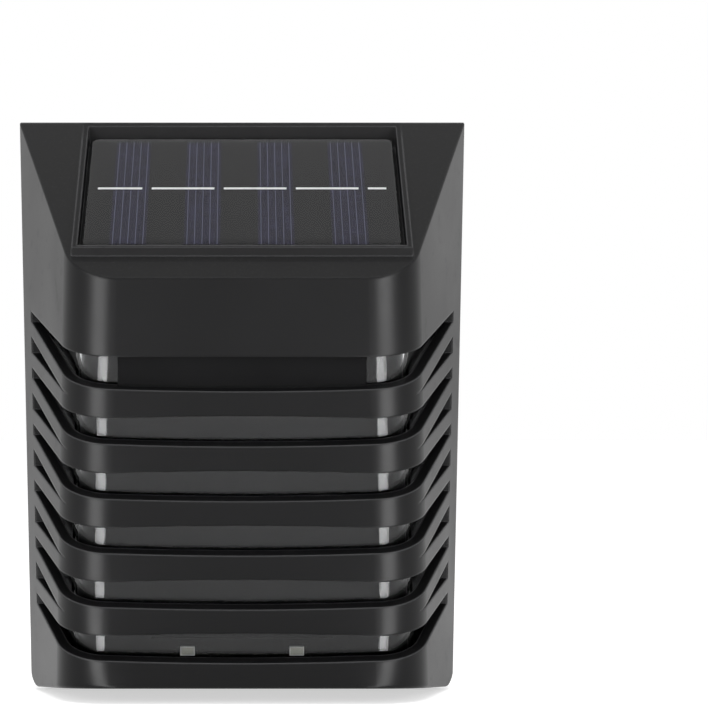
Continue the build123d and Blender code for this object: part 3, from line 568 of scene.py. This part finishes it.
@dataclass(frozen=True)
class CellSilicon:
    """Dark blue solar cell with faint crystal shading.

    Attributes:
        name: The material's name.
        colour: Colour of the cell.
        bright: Colour of its lighter crystals.
        roughness: Mean roughness.
        gloss: Specular level.
        streaks_per_mm: How close the streaks across the cell lie.
        streak_stretch: How the streaks are drawn out along the cell.
        crystals_per_mm: How close the crystals lie.
    """

    name: str = "cell_silicon"
    colour: Colour = (0.008, 0.0076, 0.018)
    bright: Colour = (0.017, 0.016, 0.036)
    roughness: float = 0.3
    gloss: float = 0.06
    streaks_per_mm: float = 0.9
    streak_stretch: tuple[float, float, float] = (1.0, 0.12, 0.12)
    crystals_per_mm: float = 0.5

    def material(self) -> bpy.types.Material:
        """Builds the material."""
        paint = Paint(self.name, Specular_IOR_Level=self.gloss)
        graph = paint.graph
        stretched = graph.add(
            "ShaderNodeVectorMath", {0: paint.place, 1: self.streak_stretch}, operation="MULTIPLY"
        )
        streaks = graph.noise(stretched.outputs[0], self.streaks_per_mm / MM, Detail=3.0)
        crystals = graph.add(
            "ShaderNodeTexVoronoi",
            {"Vector": paint.place, "Scale": self.crystals_per_mm / MM, "Randomness": 1.0},
        ).outputs["Distance"]
        light = graph.ramp(graph.math("MULTIPLY", streaks, crystals), 0.1, 0.6)
        paint.feed("Base Color", graph.blend(light, self.colour, self.bright))
        paint.feed("Roughness", graph.math("MULTIPLY_ADD", streaks, 0.2, self.roughness - 0.1))
        paint.bump(crystals, FINE_DEPTH)
        return paint.material


@dataclass(frozen=True)
class DrawnMetal:
    """Rolled or plated metal with fine lines.

    Attributes:
        name: The material's name.
        colour: Its colour.
        roughness: Mean roughness.
        lines_per_mm: How fine its lines are.
        stain: Colour of its duller patches.
        stains_per_mm: How close those patches lie.
    """

    name: str
    colour: Colour
    roughness: float
    lines_per_mm: float = 6.0
    stain: Colour = (0.35, 0.34, 0.32)
    stains_per_mm: float = 0.8

    def material(self) -> bpy.types.Material:
        """Builds the material."""
        paint = Paint(self.name, Metallic=1.0)
        graph = paint.graph
        lines = paint.effect(Effect.DRAWN_LINES, Lines_per_mm=self.lines_per_mm)
        grain = paint.effect(Effect.MOULD_GRAIN, Grains_per_mm=self.stains_per_mm)
        patch = graph.ramp(grain["Height"], 0.5, 0.75, 0.0, 0.5)
        paint.feed("Base Color", graph.blend(patch, self.colour, self.stain))
        paint.feed("Roughness", graph.math("ADD", lines["Gloss Change"], self.roughness, clamp=True))
        paint.bump(lines["Height"], FINE_DEPTH)
        return paint.material


@dataclass(frozen=True)
class CircuitLaminate:
    """Lacquered circuit board with tracks under the lacquer.

    Attributes:
        name: The material's name.
        lacquer: Colour of the lacquer.
        track: Colour over a track.
        roughness: Mean roughness.
        tracks_per_mm: How close the tracks lie.
        weave_per_mm: How close the cloth in the board is woven.
        track_depth: How far a track stands out, in mm.
    """

    name: str
    lacquer: Colour
    track: Colour
    roughness: float = 0.35
    tracks_per_mm: float = 0.35
    weave_per_mm: float = 1.5
    track_depth: float = 0.02

    def material(self) -> bpy.types.Material:
        """Builds the material."""
        paint = Paint(self.name, Coat_Weight=0.2, Coat_Roughness=0.2)
        graph = paint.graph
        cells = graph.add(
            "ShaderNodeTexVoronoi",
            {"Vector": paint.place, "Scale": self.tracks_per_mm / MM, "Randomness": 0.55},
            distance="MANHATTAN",
        )
        tracks = graph.ramp(cells.outputs["Distance"], 0.28, 0.34)
        weave = paint.effect(Effect.MOULD_GRAIN, Grains_per_mm=self.weave_per_mm)
        paint.feed("Base Color", graph.blend(tracks, self.lacquer, self.track))
        paint.feed("Roughness", graph.math("ADD", weave["Gloss Change"], self.roughness))
        paint.bump(graph.math("MULTIPLY_ADD", weave["Height"], 0.2, tracks), self.track_depth * MM)
        return paint.material


@dataclass(frozen=True)
class BatterySleeve:
    """Shrunk sleeve of the battery with bare metal at both ends.

    Attributes:
        name: The material's name.
        sleeve: Colour of the sleeve.
        band: Colour of the band at its positive end.
        metal: Colour of the bare ends.
        left: Where the sleeve starts, in mm.
        right: Where the sleeve ends, in mm.
        band_width: Width of the band, in mm.
        blend: Width over which one colour turns into the next, in mm.
        roughness: Mean roughness.
        grains_per_mm: How fine its creases are.
        grain_depth: How deep they are, in mm.
    """

    name: str = "battery_sleeve"
    sleeve: Colour = (0.06, 0.22, 0.12)
    band: Colour = (0.55, 0.55, 0.5)
    metal: Colour = (0.6, 0.6, 0.58)
    left: float = -23.0
    right: float = 19.4
    band_width: float = 6.0
    blend: float = 0.1
    roughness: float = 0.3
    grains_per_mm: float = 0.6
    grain_depth: float = 0.01

    def material(self) -> bpy.types.Material:
        """Builds the material."""
        paint = Paint(self.name)
        graph = paint.graph
        x = paint.place_parts()[0]
        started, past_band, ended = (
            graph.ramp(x, place * MM, (place + self.blend) * MM)
            for place in (self.left, self.left + self.band_width, self.right)
        )
        wrapped = graph.math("SUBTRACT", started, ended)
        grain = paint.effect(Effect.MOULD_GRAIN, Grains_per_mm=self.grains_per_mm)
        sleeve = graph.blend(past_band, self.band, self.sleeve)
        paint.feed("Base Color", graph.blend(wrapped, self.metal, sleeve))
        paint.feed("Metallic", graph.math("SUBTRACT", 1.0, wrapped))
        paint.feed("Roughness", graph.math("ADD", grain["Gloss Change"], self.roughness))
        paint.bump(grain["Height"], self.grain_depth * MM)
        return paint.material


class Finish(Enum):
    """Every finish of the light."""

    CASING = CasingPlastic()
    INNER_BLACK = MouldedPlastic(
        "inner_black_plastic", (0.0045, 0.0045, 0.005), 0.45, 2.0, 0.003, 0.0, 0.08
    )
    BACK = MouldedPlastic("back_black_plastic", (0.011, 0.011, 0.012), 0.5, 1.6, 0.012, 0.05, 0.3)
    SOFT_SEAL = MouldedPlastic("soft_seal", (0.02, 0.02, 0.021), 0.75, 3.0, 0.004)
    LENS = ClearPlastic("lens_plastic", (0.92, 0.93, 0.94), 0.02, 1.29, 0.0004)
    RESIN = ClearPlastic("panel_resin", (0.93, 0.94, 0.95), 0.05, 1.27, 0.0012)
    CELL = CellSilicon()
    RIBBON = DrawnMetal("tinned_ribbon", (0.9, 0.9, 0.9), 0.4, 2.0, (0.75, 0.73, 0.68))
    FINGER = DrawnMetal("printed_finger", (0.11, 0.11, 0.16), 0.5, 8.0, (0.08, 0.08, 0.13))
    PLATED = DrawnMetal("zinc_plating", (0.62, 0.62, 0.6), 0.33, 5.0, (0.45, 0.42, 0.36))
    SPRING = DrawnMetal("nickel_plating", (0.72, 0.7, 0.66), 0.22, 5.0)
    PANEL_BOARD = MouldedPlastic("panel_laminate", (0.009, 0.009, 0.0092), 0.5, 1.2, 0.004, 0.0, 0.04)
    LIGHT_BOARD = MouldedPlastic("light_laminate", (0.006, 0.006, 0.006), 0.5, 1.5, 0.002, 0.0, 0.08)
    CONTROL_BOARD = CircuitLaminate("control_laminate", (0.012, 0.12, 0.045), (0.03, 0.2, 0.08))
    CHIP = MouldedPlastic("chip_epoxy", (0.02, 0.02, 0.021), 0.6, 4.0, 0.006)
    CHOKE = MouldedPlastic("choke_body", (0.06, 0.2, 0.1), 0.4, 2.0, 0.006)
    CAPACITOR = MouldedPlastic("capacitor_sleeve", (0.02, 0.03, 0.09), 0.25, 2.0, 0.003)
    FOAM = MouldedPlastic("foam_sheet", (0.7, 0.7, 0.66), 0.85, 2.0, 0.05)
    BATTERY = BatterySleeve()
    WIRE_RED = MouldedPlastic("wire_red", (0.4, 0.016, 0.014), 0.4, 2.0, 0.004)
    WIRE_BLACK = MouldedPlastic("wire_black", (0.015, 0.015, 0.016), 0.4, 2.0, 0.004)
    LED_HOUSING = MouldedPlastic("light_housing", (0.6, 0.6, 0.59), 0.4, 4.0, 0.002)
    LED_GEL = MouldedPlastic("light_gel", (0.42, 0.42, 0.36), 0.25, 1.5, 0.006)


MATERIALS: dict[Finish, bpy.types.Material] = {finish: finish.value.material() for finish in Finish}


# ------------------------------------------------------------------ meshes

def coat(finish: Finish, *nodes: str) -> list[bpy.types.Object]:
    """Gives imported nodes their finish.

    Args:
        finish: The finish.
        nodes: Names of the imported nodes.

    Returns:
        The nodes' objects.
    """
    pieces = [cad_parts[node] for node in nodes]
    for piece in pieces:
        piece.data.materials.clear()
        piece.data.materials.append(MATERIALS[finish])
    return pieces


def new_object(name: str, data: bpy.types.ID) -> bpy.types.Object:
    """Puts a mesh, lamp or camera in the scene.

    Args:
        name: The object's name.
        data: What it shows.

    Returns:
        The object.
    """
    thing = bpy.data.objects.new(name, data)
    bpy.context.scene.collection.objects.link(thing)
    return thing


def new_piece(name: str, mesh: bpy.types.Mesh, body: str) -> bpy.types.Object:
    """Puts a finished mesh in the scene as a piece of a body.

    Args:
        name: The piece's name.
        mesh: Its mesh, in place.
        body: The body that it rides on.

    Returns:
        The piece.
    """
    mesh.name = name
    piece = new_object(name, mesh)
    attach(piece, body)
    return piece


class NodeBuild:
    """Geometry Nodes tree with named sizes that ends in one plain mesh."""

    def __init__(self, name: str, sizes: dict[str, float | int]) -> None:
        """Makes the tree with one input for each size.

        Args:
            name: The tree's name.
            sizes: Input name to its value; a whole number makes a whole number input.
        """
        self.sizes = sizes
        self.tree = bpy.data.node_groups.new(name, "GeometryNodeTree")
        self.graph = Graph(self.tree)
        for key, value in sizes.items():
            kind = "NodeSocketInt" if isinstance(value, int) else "NodeSocketFloat"
            self.tree.interface.new_socket(key, in_out="INPUT", socket_type=kind)
        self.tree.interface.new_socket("Geometry", in_out="OUTPUT", socket_type="NodeSocketGeometry")
        self.given = self.graph.add("NodeGroupInput").outputs

    def finish(self, geometry: Socket, material: bpy.types.Material) -> bpy.types.Mesh:
        """Realises the geometry and turns it into a plain mesh.

        Args:
            geometry: Output that gives the geometry.
            material: The material of all of it.

        Returns:
            The plain mesh.
        """
        real = self.graph.add("GeometryNodeRealizeInstances", {0: geometry})
        dressed = self.graph.add(
            "GeometryNodeSetMaterial", {"Geometry": real.outputs[0], "Material": material}
        )
        self.graph.add("NodeGroupOutput", {0: dressed.outputs[0]})
        holder = new_object("holder", bpy.data.meshes.new("holder"))
        modifier = holder.modifiers.new("build", "NODES")
        modifier.node_group = self.tree
        for socket in self.tree.interface.items_tree:
            if socket.in_out == "INPUT":
                modifier[socket.identifier] = self.sizes[socket.name]
        seen = holder.evaluated_get(bpy.context.evaluated_depsgraph_get())
        mesh = bpy.data.meshes.new_from_object(seen)
        bpy.data.objects.remove(holder)
        return mesh


# ------------------------------------------------------------------ sub-assemblies

@dataclass
class CasingShell:
    """The black louvred moulding."""

    def build(self) -> list[bpy.types.Object]:
        """Gives the casing its finish."""
        return coat(Finish.CASING, "louvre_casing")


@dataclass
class SolarPanel:
    """The solar panel: board, cells, printed fingers, ribbons and resin.

    Attributes:
        tilt: Slope of the panel, in degrees.
        back_depth: Depth of its upper edge, in mm.
        top_z: Height of its upper edge, in mm.
        length: Its length up the slope, in mm.
        cell_count: How many cells lie side by side.
        cell_pitch: From cell to cell, in mm.
        cells_shift: How far the row sits right of centre, in mm.
        finger_count: Fingers on each cell.
        finger_pitch: From finger to finger, in mm.
        finger_width: Width of a finger, in mm.
        finger_length: Length of a finger, in mm.
        finger_height: Height of a finger above the cell, in mm.
        cell_top: Top of the cells below the panel's surface, in mm.
        width: Width of the panel, in mm.
        resin_depth: How deep the poured cover reaches, just into the board, in mm.
        corner_radius: Rounding of the panel's four corners, in mm.
        least_radius: Least rounding of the rings inside them, in mm.
        dome_reach: How far in from the edge the cover's surface begins to fall, in mm.
        dome_drop: How far it falls, in mm.
        dome_steps: Rings of faces in that fall.
        inset: How far the cover stays inside the board's edge, in mm.
        crease: Angle between two faces that still looks smooth, in degrees.
    """

    tilt: float = 38.0
    back_depth: float = 3.7
    top_z: float = 66.8
    length: float = 48.0
    cell_count: int = 4
    cell_pitch: float = 17.5
    cells_shift: float = -0.7
    finger_count: int = 5
    finger_pitch: float = 1.78
    finger_width: float = 0.16
    finger_length: float = 45.0
    finger_height: float = 0.03
    cell_top: float = 1.0
    width: float = 75.0
    resin_depth: float = 1.25
    corner_radius: float = 2.0
    least_radius: float = 0.3
    dome_reach: float = 3.4
    dome_drop: float = 0.35
    dome_steps: int = 12
    inset: float = 0.02
    crease: float = 30.0

    def panel_place(self) -> Matrix:
        """Matrix that takes the panel's own frame, surface at z 0, to its place."""
        turn = math.radians(self.tilt)
        depth = self.back_depth + self.length * math.cos(turn) / 2
        height = self.top_z - self.length * math.sin(turn) / 2
        return Matrix.Translation((0, -depth * MM, height * MM)) @ Matrix.Rotation(turn, 4, "X")

    def build_fingers(self) -> bpy.types.Object:
        """Prints the fine lines that run along every cell."""
        build = NodeBuild(
            "printed_fingers",
            {
                "Cells": self.cell_count,
                "Cell Pitch": self.cell_pitch * MM,
                "Fingers": self.finger_count,
                "Finger Pitch": self.finger_pitch * MM,
                "Width": self.finger_width * MM,
                "Length": self.finger_length * MM,
                "Height": self.finger_height * MM,
            },
        )
        graph, given = build.graph, build.given
        strip_size = graph.add(
            "ShaderNodeCombineXYZ", {0: given["Width"], 1: given["Length"], 2: given["Height"]}
        )
        row = graph.add("GeometryNodeMeshCube", {"Size": strip_size.outputs[0]})
        for count, pitch in (("Fingers", "Finger Pitch"), ("Cells", "Cell Pitch")):
            steps = graph.math("SUBTRACT", given[count], 1.0)
            half = graph.math("MULTIPLY", graph.math("MULTIPLY", steps, given[pitch]), -0.5)
            start = graph.add("ShaderNodeCombineXYZ", {0: half}).outputs[0]
            step = graph.add("ShaderNodeCombineXYZ", {0: given[pitch]}).outputs[0]
            line = graph.add(
                "GeometryNodeMeshLine", {"Count": given[count], "Start Location": start, "Offset": step}
            )
            row = graph.add(
                "GeometryNodeInstanceOnPoints", {"Points": line.outputs[0], "Instance": row.outputs[0]}
            )
        mesh = build.finish(row.outputs[0], MATERIALS[Finish.FINGER])
        height = -self.cell_top + self.finger_height / 2
        mesh.transform(self.panel_place() @ Matrix.Translation((self.cells_shift * MM, 0, height * MM)))
        return new_piece("cell_fingers", mesh, "housing")

    def ring(self, inset: float, height: float, corner_steps: int = 8) -> list[Vector]:
        """Rounded outline of the panel, counter-clockwise from above.

        Args:
            inset: How far inside the panel's edge it runs, in mm.
            height: Its height above the panel's surface, in mm.
            corner_steps: Steps in each rounded corner.

        Returns:
            Its points, in metres.
        """
        radius = max(self.corner_radius - inset, self.least_radius)
        half_x = self.width / 2 - inset - radius
        half_y = self.length / 2 - inset - radius
        points = []
        for corner, (side_x, side_y) in enumerate(((1, 1), (-1, 1), (-1, -1), (1, -1))):
            for step in range(corner_steps + 1):
                angle = math.radians(90) * (corner + step / corner_steps)
                x = side_x * half_x + radius * math.cos(angle)
                y = side_y * half_y + radius * math.sin(angle)
                points.append(Vector((x, y, height)) * MM)
        return points

    def build_resin(self) -> bpy.types.Object:
        """Pours the clear cover, domed at its edges, with the cells inside it."""
        rings = [self.ring(self.inset, -self.resin_depth)]
        for step in range(self.dome_steps + 1):
            angle = math.radians(90) * step / self.dome_steps
            inset = self.inset + self.dome_reach * (1 - math.cos(angle))
            rings.append(self.ring(inset, -self.dome_drop * (1 - math.sin(angle))))
        work = bmesh.new()
        rows = [[work.verts.new(point) for point in ring] for ring in rings]
        for low, high in zip(rows, rows[1:]):
            for i in range(len(low)):
                j = (i + 1) % len(low)
                work.faces.new((low[i], low[j], high[j], high[i])).smooth = True
        work.faces.new(rows[-1]).smooth = True
        work.faces.new(list(reversed(rows[0])))
        for edge in work.edges:
            edge.smooth = edge.calc_face_angle(0.0) < math.radians(self.crease)
        mesh = bpy.data.meshes.new("panel_cover")
        work.to_mesh(mesh)
        work.free()
        mesh.transform(self.panel_place())
        mesh.materials.append(MATERIALS[Finish.RESIN])
        cover = new_piece("panel_cover", mesh, "housing")
        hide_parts("panel_resin")
        return cover

    def build(self) -> list[bpy.types.Object]:
        """Builds and dresses the panel."""
        return [
            *coat(Finish.PANEL_BOARD, "solar_panel_board"),
            *coat(Finish.FOAM, "panel_tape"),
            *coat(Finish.CELL, *(f"solar_cell_{i + 1}" for i in range(self.cell_count))),
            *coat(Finish.RIBBON, *(f"cell_ribbon_{i + 1}" for i in range(self.cell_count + 1))),
            self.build_fingers(),
            self.build_resin(),
        ]


@dataclass
class LightChip:
    """One light emitting chip: pale housing with a gel filled window.

    Attributes:
        node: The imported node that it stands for.
        border: Width of the housing round the window, in mm.
        sink: How far the gel lies below the housing's rim, in mm.
        edge: Rounding of the housing's edges, in mm.
        edge_steps: Rows of faces in that rounding.
        lean: How far the board leans forward, in degrees.
        corner: Least angle between two faces of the housing whose edge is rounded, in radians.
    """

    node: str
    border: float = 0.35
    sink: float = 0.12
    edge: float = 0.08
    edge_steps: int = 2
    lean: float = 8.83
    corner: float = 1.0

    def build(self) -> bpy.types.Object:
        """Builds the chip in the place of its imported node."""
        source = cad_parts[self.node].data
        work = bmesh.new()
        work.from_mesh(source)
        bmesh.ops.remove_doubles(work, verts=work.verts, dist=1e-6)
        bmesh.ops.dissolve_limit(work, angle_limit=math.radians(1), verts=work.verts, edges=work.edges)
        lean = math.radians(self.lean)
        out = Vector((0, -math.cos(lean), -math.sin(lean)))
        front = max(work.faces, key=lambda face: face.normal.dot(out))
        bmesh.ops.inset_individual(
            work, faces=[front], thickness=self.border * MM, depth=-self.sink * MM
        )
        front.material_index = 1
        housing = [e for e in work.edges if all(f.material_index == 0 for f in e.link_faces)]
        bmesh.ops.bevel(
            work,
            geom=[e for e in housing if e.calc_face_angle() > self.corner],
            offset=self.edge * MM,
            segments=self.edge_steps,
            profile=0.5,
            affect="EDGES",
            clamp_overlap=True,
        )
        mesh = bpy.data.meshes.new(self.node)
        work.to_mesh(mesh)
        work.free()
        mesh.materials.append(MATERIALS[Finish.LED_HOUSING])
        mesh.materials.append(MATERIALS[Finish.LED_GEL])
        piece = new_piece(f"{self.node}_chip", mesh, "housing")
        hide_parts(self.node)
        return piece


@dataclass
class LightEngine:
    """The clear tub with the black carrier and its light board inside."""

    chips: tuple[str, ...] = ("led_left", "led_right")

    def build(self) -> list[bpy.types.Object]:
        """Builds and dresses the tub and what is in it."""
        return [
            *coat(Finish.LENS, "clear_lens"),
            *coat(Finish.SOFT_SEAL, "lens_gasket"),
            *coat(Finish.INNER_BLACK, "led_carrier"),
            *coat(Finish.LIGHT_BOARD, "led_board"),
            *coat(Finish.PLATED, "carrier_screws"),
            *coat(Finish.WIRE_RED, "led_wire_red"),
            *coat(Finish.WIRE_BLACK, "led_wire_black"),
            *(LightChip(name).build() for name in self.chips),
        ]


@dataclass
class Controls:
    """The control board, its parts, the switch and its wires."""

    def build(self) -> list[bpy.types.Object]:
        """Dresses the control board and everything on it."""
        return [
            *coat(Finish.CONTROL_BOARD, "control_board"),
            *coat(Finish.PLATED, "control_board_screws"),
            *coat(Finish.CHIP, "driver_chip", "switch_body"),
            *coat(Finish.CHOKE, "choke_coil"),
            *coat(Finish.CAPACITOR, "capacitor"),
            *coat(Finish.INNER_BLACK, "switch_slider"),
            *coat(Finish.WIRE_RED, "panel_wire_red"),
            *coat(Finish.WIRE_BLACK, "panel_wire_black"),
        ]


@dataclass
class BatteryBay:
    """The battery, its contacts and its door."""

    def build(self) -> list[bpy.types.Object]:
        """Dresses the battery bay."""
        return [
            *coat(Finish.BATTERY, "battery_cell"),
            *coat(Finish.SPRING, "battery_positive_contact", "battery_negative_contact", "battery_spring"),
            *coat(Finish.WIRE_RED, "battery_wire_red"),
            *coat(Finish.WIRE_BLACK, "battery_wire_black"),
            *coat(Finish.BACK, "battery_door"),
            *coat(Finish.SOFT_SEAL, "battery_door_seal"),
            *coat(Finish.PLATED, "battery_door_screw"),
        ]


@dataclass
class BackPlate:
    """The plate that closes the back, with its screws."""

    def build(self) -> list[bpy.types.Object]:
        """Dresses the back plate and its screws."""
        return coat(Finish.BACK, "back_plate") + coat(Finish.PLATED, "back_plate_screws")


# ------------------------------------------------------------------ studio

@dataclass
class SoftLamp:
    """One large soft lamp.

    Attributes:
        name: The lamp's name.
        place: Where it hangs, in metres.
        width: Its width, in metres.
        height: Its height, in metres.
        power: Its power, in watts.
    """

    name: str
    place: tuple[float, float, float]
    width: float
    height: float
    power: float

    def hang(self) -> None:
        """Hangs the lamp, facing the middle of the light."""
        data = bpy.data.lights.new(self.name, "AREA")
        data.shape = "RECTANGLE"
        data.size = self.width
        data.size_y = self.height
        data.energy = self.power
        lamp = new_object(self.name, data)
        lamp.location = self.place
        lamp.rotation_euler = (-Vector(self.place)).to_track_quat("-Z", "Y").to_euler()


@dataclass
class Studio:
    """White surroundings, floor, lamps and camera.

    Attributes:
        camera_distance: From the camera to the wall plane, in metres.
        lens: Focal length, in mm on a 36 mm wide sensor.
        shift: Sideways and upward shift of the frame, as shares of its width.
        floor_z: Height of the floor, in metres.
        floor_reach: From the floor's middle to its edge, in metres.
        floor_colours: Darkest and lightest colour of the floor.
        room_level: Strength of the white surroundings for diffuse light.
        floor_glow: What the floor adds to its own colour where it is seen, to be white like them.
        card_level: Strength of the two bright cards that only reflections show.
        card_angles: Where each card starts and ends, in degrees aside of straight ahead.
        card_start: How far aside and ahead of the centre the cards fan out from, in mm.
        card_blend: Angle over which a card's edge fades, in radians.
    """

    camera_distance: float = 0.590
    lens: float = 119.1
    shift: tuple[float, float] = (0.158, 0.0698)
    floor_z: float = -0.0713
    floor_reach: float = 4.0
    floor_colours: tuple[Colour, Colour] = ((0.84, 0.84, 0.84), (0.88, 0.88, 0.88))
    room_level: float = 0.5
    floor_glow: float = 0.57
    card_level: float = 11.5
    card_angles: tuple[float, float] = (23.0, 50.0)
    card_start: tuple[float, float] = (30.0, 36.0)
    card_blend: float = 0.03

    @staticmethod
    def seen_rays(graph: Graph) -> Socket:
        """Tells which rays see the surroundings as they should look.

        Args:
            graph: The graph that asks.

        Returns:
            1 for rays from the camera, a reflection or a clear piece, else 0.
        """
        path = graph.add("ShaderNodeLightPath").outputs
        seen = graph.math("MAXIMUM", path["Is Camera Ray"], path["Is Glossy Ray"])
        return graph.math("MAXIMUM", seen, path["Is Transmission Ray"])

    def set_world(self) -> None:
        """Makes the white surroundings."""
        world = bpy.data.worlds.new("white_room")
        bpy.context.scene.world = world
        world.use_nodes = True
        graph = Graph(world.node_tree)
        extra = 1.0 - self.room_level
        level = graph.math("MULTIPLY_ADD", self.seen_rays(graph), extra, self.room_level)
        back = graph.add("ShaderNodeBackground", {"Color": WHITE, "Strength": level})
        graph.add("ShaderNodeOutputWorld", {"Surface": back.outputs[0]})

    def card_mask(self, paint: Paint) -> Socket:
        """1 on the two bright cards of the floor, else 0."""
        graph = paint.graph
        x, y, _ = paint.place_parts()
        aside = graph.math("SUBTRACT", graph.math("ABSOLUTE", x), self.card_start[0] * MM)
        ahead = graph.math("SUBTRACT", graph.math("MULTIPLY", y, -1.0), self.card_start[1] * MM)
        angle = graph.math("ARCTAN2", aside, ahead)
        low, high = (math.radians(degrees) for degrees in self.card_angles)
        inner = graph.ramp(angle, low, low + self.card_blend)
        outer = graph.ramp(angle, high, high + self.card_blend, 1, 0)
        return graph.math("MULTIPLY", inner, outer)

    def floor_paint(self) -> Paint:
        """Mixes the floor's material, white where it is seen, with the two cards."""
        paint = Paint("pale_floor", Roughness=0.9, Specular_IOR_Level=0.1, Emission_Color=WHITE)
        graph = paint.graph
        grain = paint.effect(Effect.MOULD_GRAIN, Grains_per_mm=0.5)
        paint.feed("Base Color", graph.blend(grain["Shade"], *self.floor_colours))
        glossy = graph.add("ShaderNodeLightPath").outputs["Is Glossy Ray"]
        card = graph.math("MULTIPLY", self.card_mask(paint), glossy)
        glow = graph.math("MULTIPLY", self.seen_rays(graph), self.floor_glow)
        paint.feed("Emission Strength", graph.math("MULTIPLY_ADD", card, self.card_level, glow))
        return paint

    def lay_floor(self) -> None:
        """Lays the plain pale floor."""
        work = bmesh.new()
        bmesh.ops.create_grid(work, x_segments=1, y_segments=1, size=self.floor_reach)
        mesh = bpy.data.meshes.new("floor")
        work.to_mesh(mesh)
        work.free()
        mesh.transform(Matrix.Translation((0, 0, self.floor_z)))
        mesh.materials.append(self.floor_paint().material)
        new_object("floor", mesh)

    def set_camera(self) -> None:
        """Puts the camera level on the light's axis."""
        data = bpy.data.cameras.new("front_camera")
        data.sensor_fit = "HORIZONTAL"
        data.sensor_width = 36.0
        data.lens = self.lens
        data.shift_x, data.shift_y = self.shift
        data.clip_start = 0.01
        camera = new_object("front_camera", data)
        camera.location = (0, -self.camera_distance, 0)
        camera.rotation_euler = Euler((math.radians(90), 0, 0))
        bpy.context.scene.camera = camera

    def build(self) -> None:
        """Builds the whole studio."""
        bpy.context.scene.view_settings.view_transform = "Standard"
        self.set_world()
        self.lay_floor()
        self.set_camera()
        for lamp in (
            SoftLamp("left_lamp", (-0.7, -0.7, 0.1), 0.42, 0.7, 4.5),
            SoftLamp("right_lamp", (0.7, -0.7, 0.1), 0.42, 0.7, 4.5),
            SoftLamp("top_lamp", (0.0, -0.45, 0.85), 1.0, 0.5, 4.0),
        ):
            lamp.hang()


def main() -> None:
    """Builds the light and its studio."""
    logging.basicConfig(level=logging.INFO, format="%(message)s")
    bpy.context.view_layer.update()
    Studio().build()
    for part in (CasingShell(), SolarPanel(), LightEngine(), Controls(), BatteryBay(), BackPlate()):
        for piece in part.build():
            log.info("built %s with %d faces", piece.name, len(piece.data.polygons))


if __name__ == "__main__":
    main()
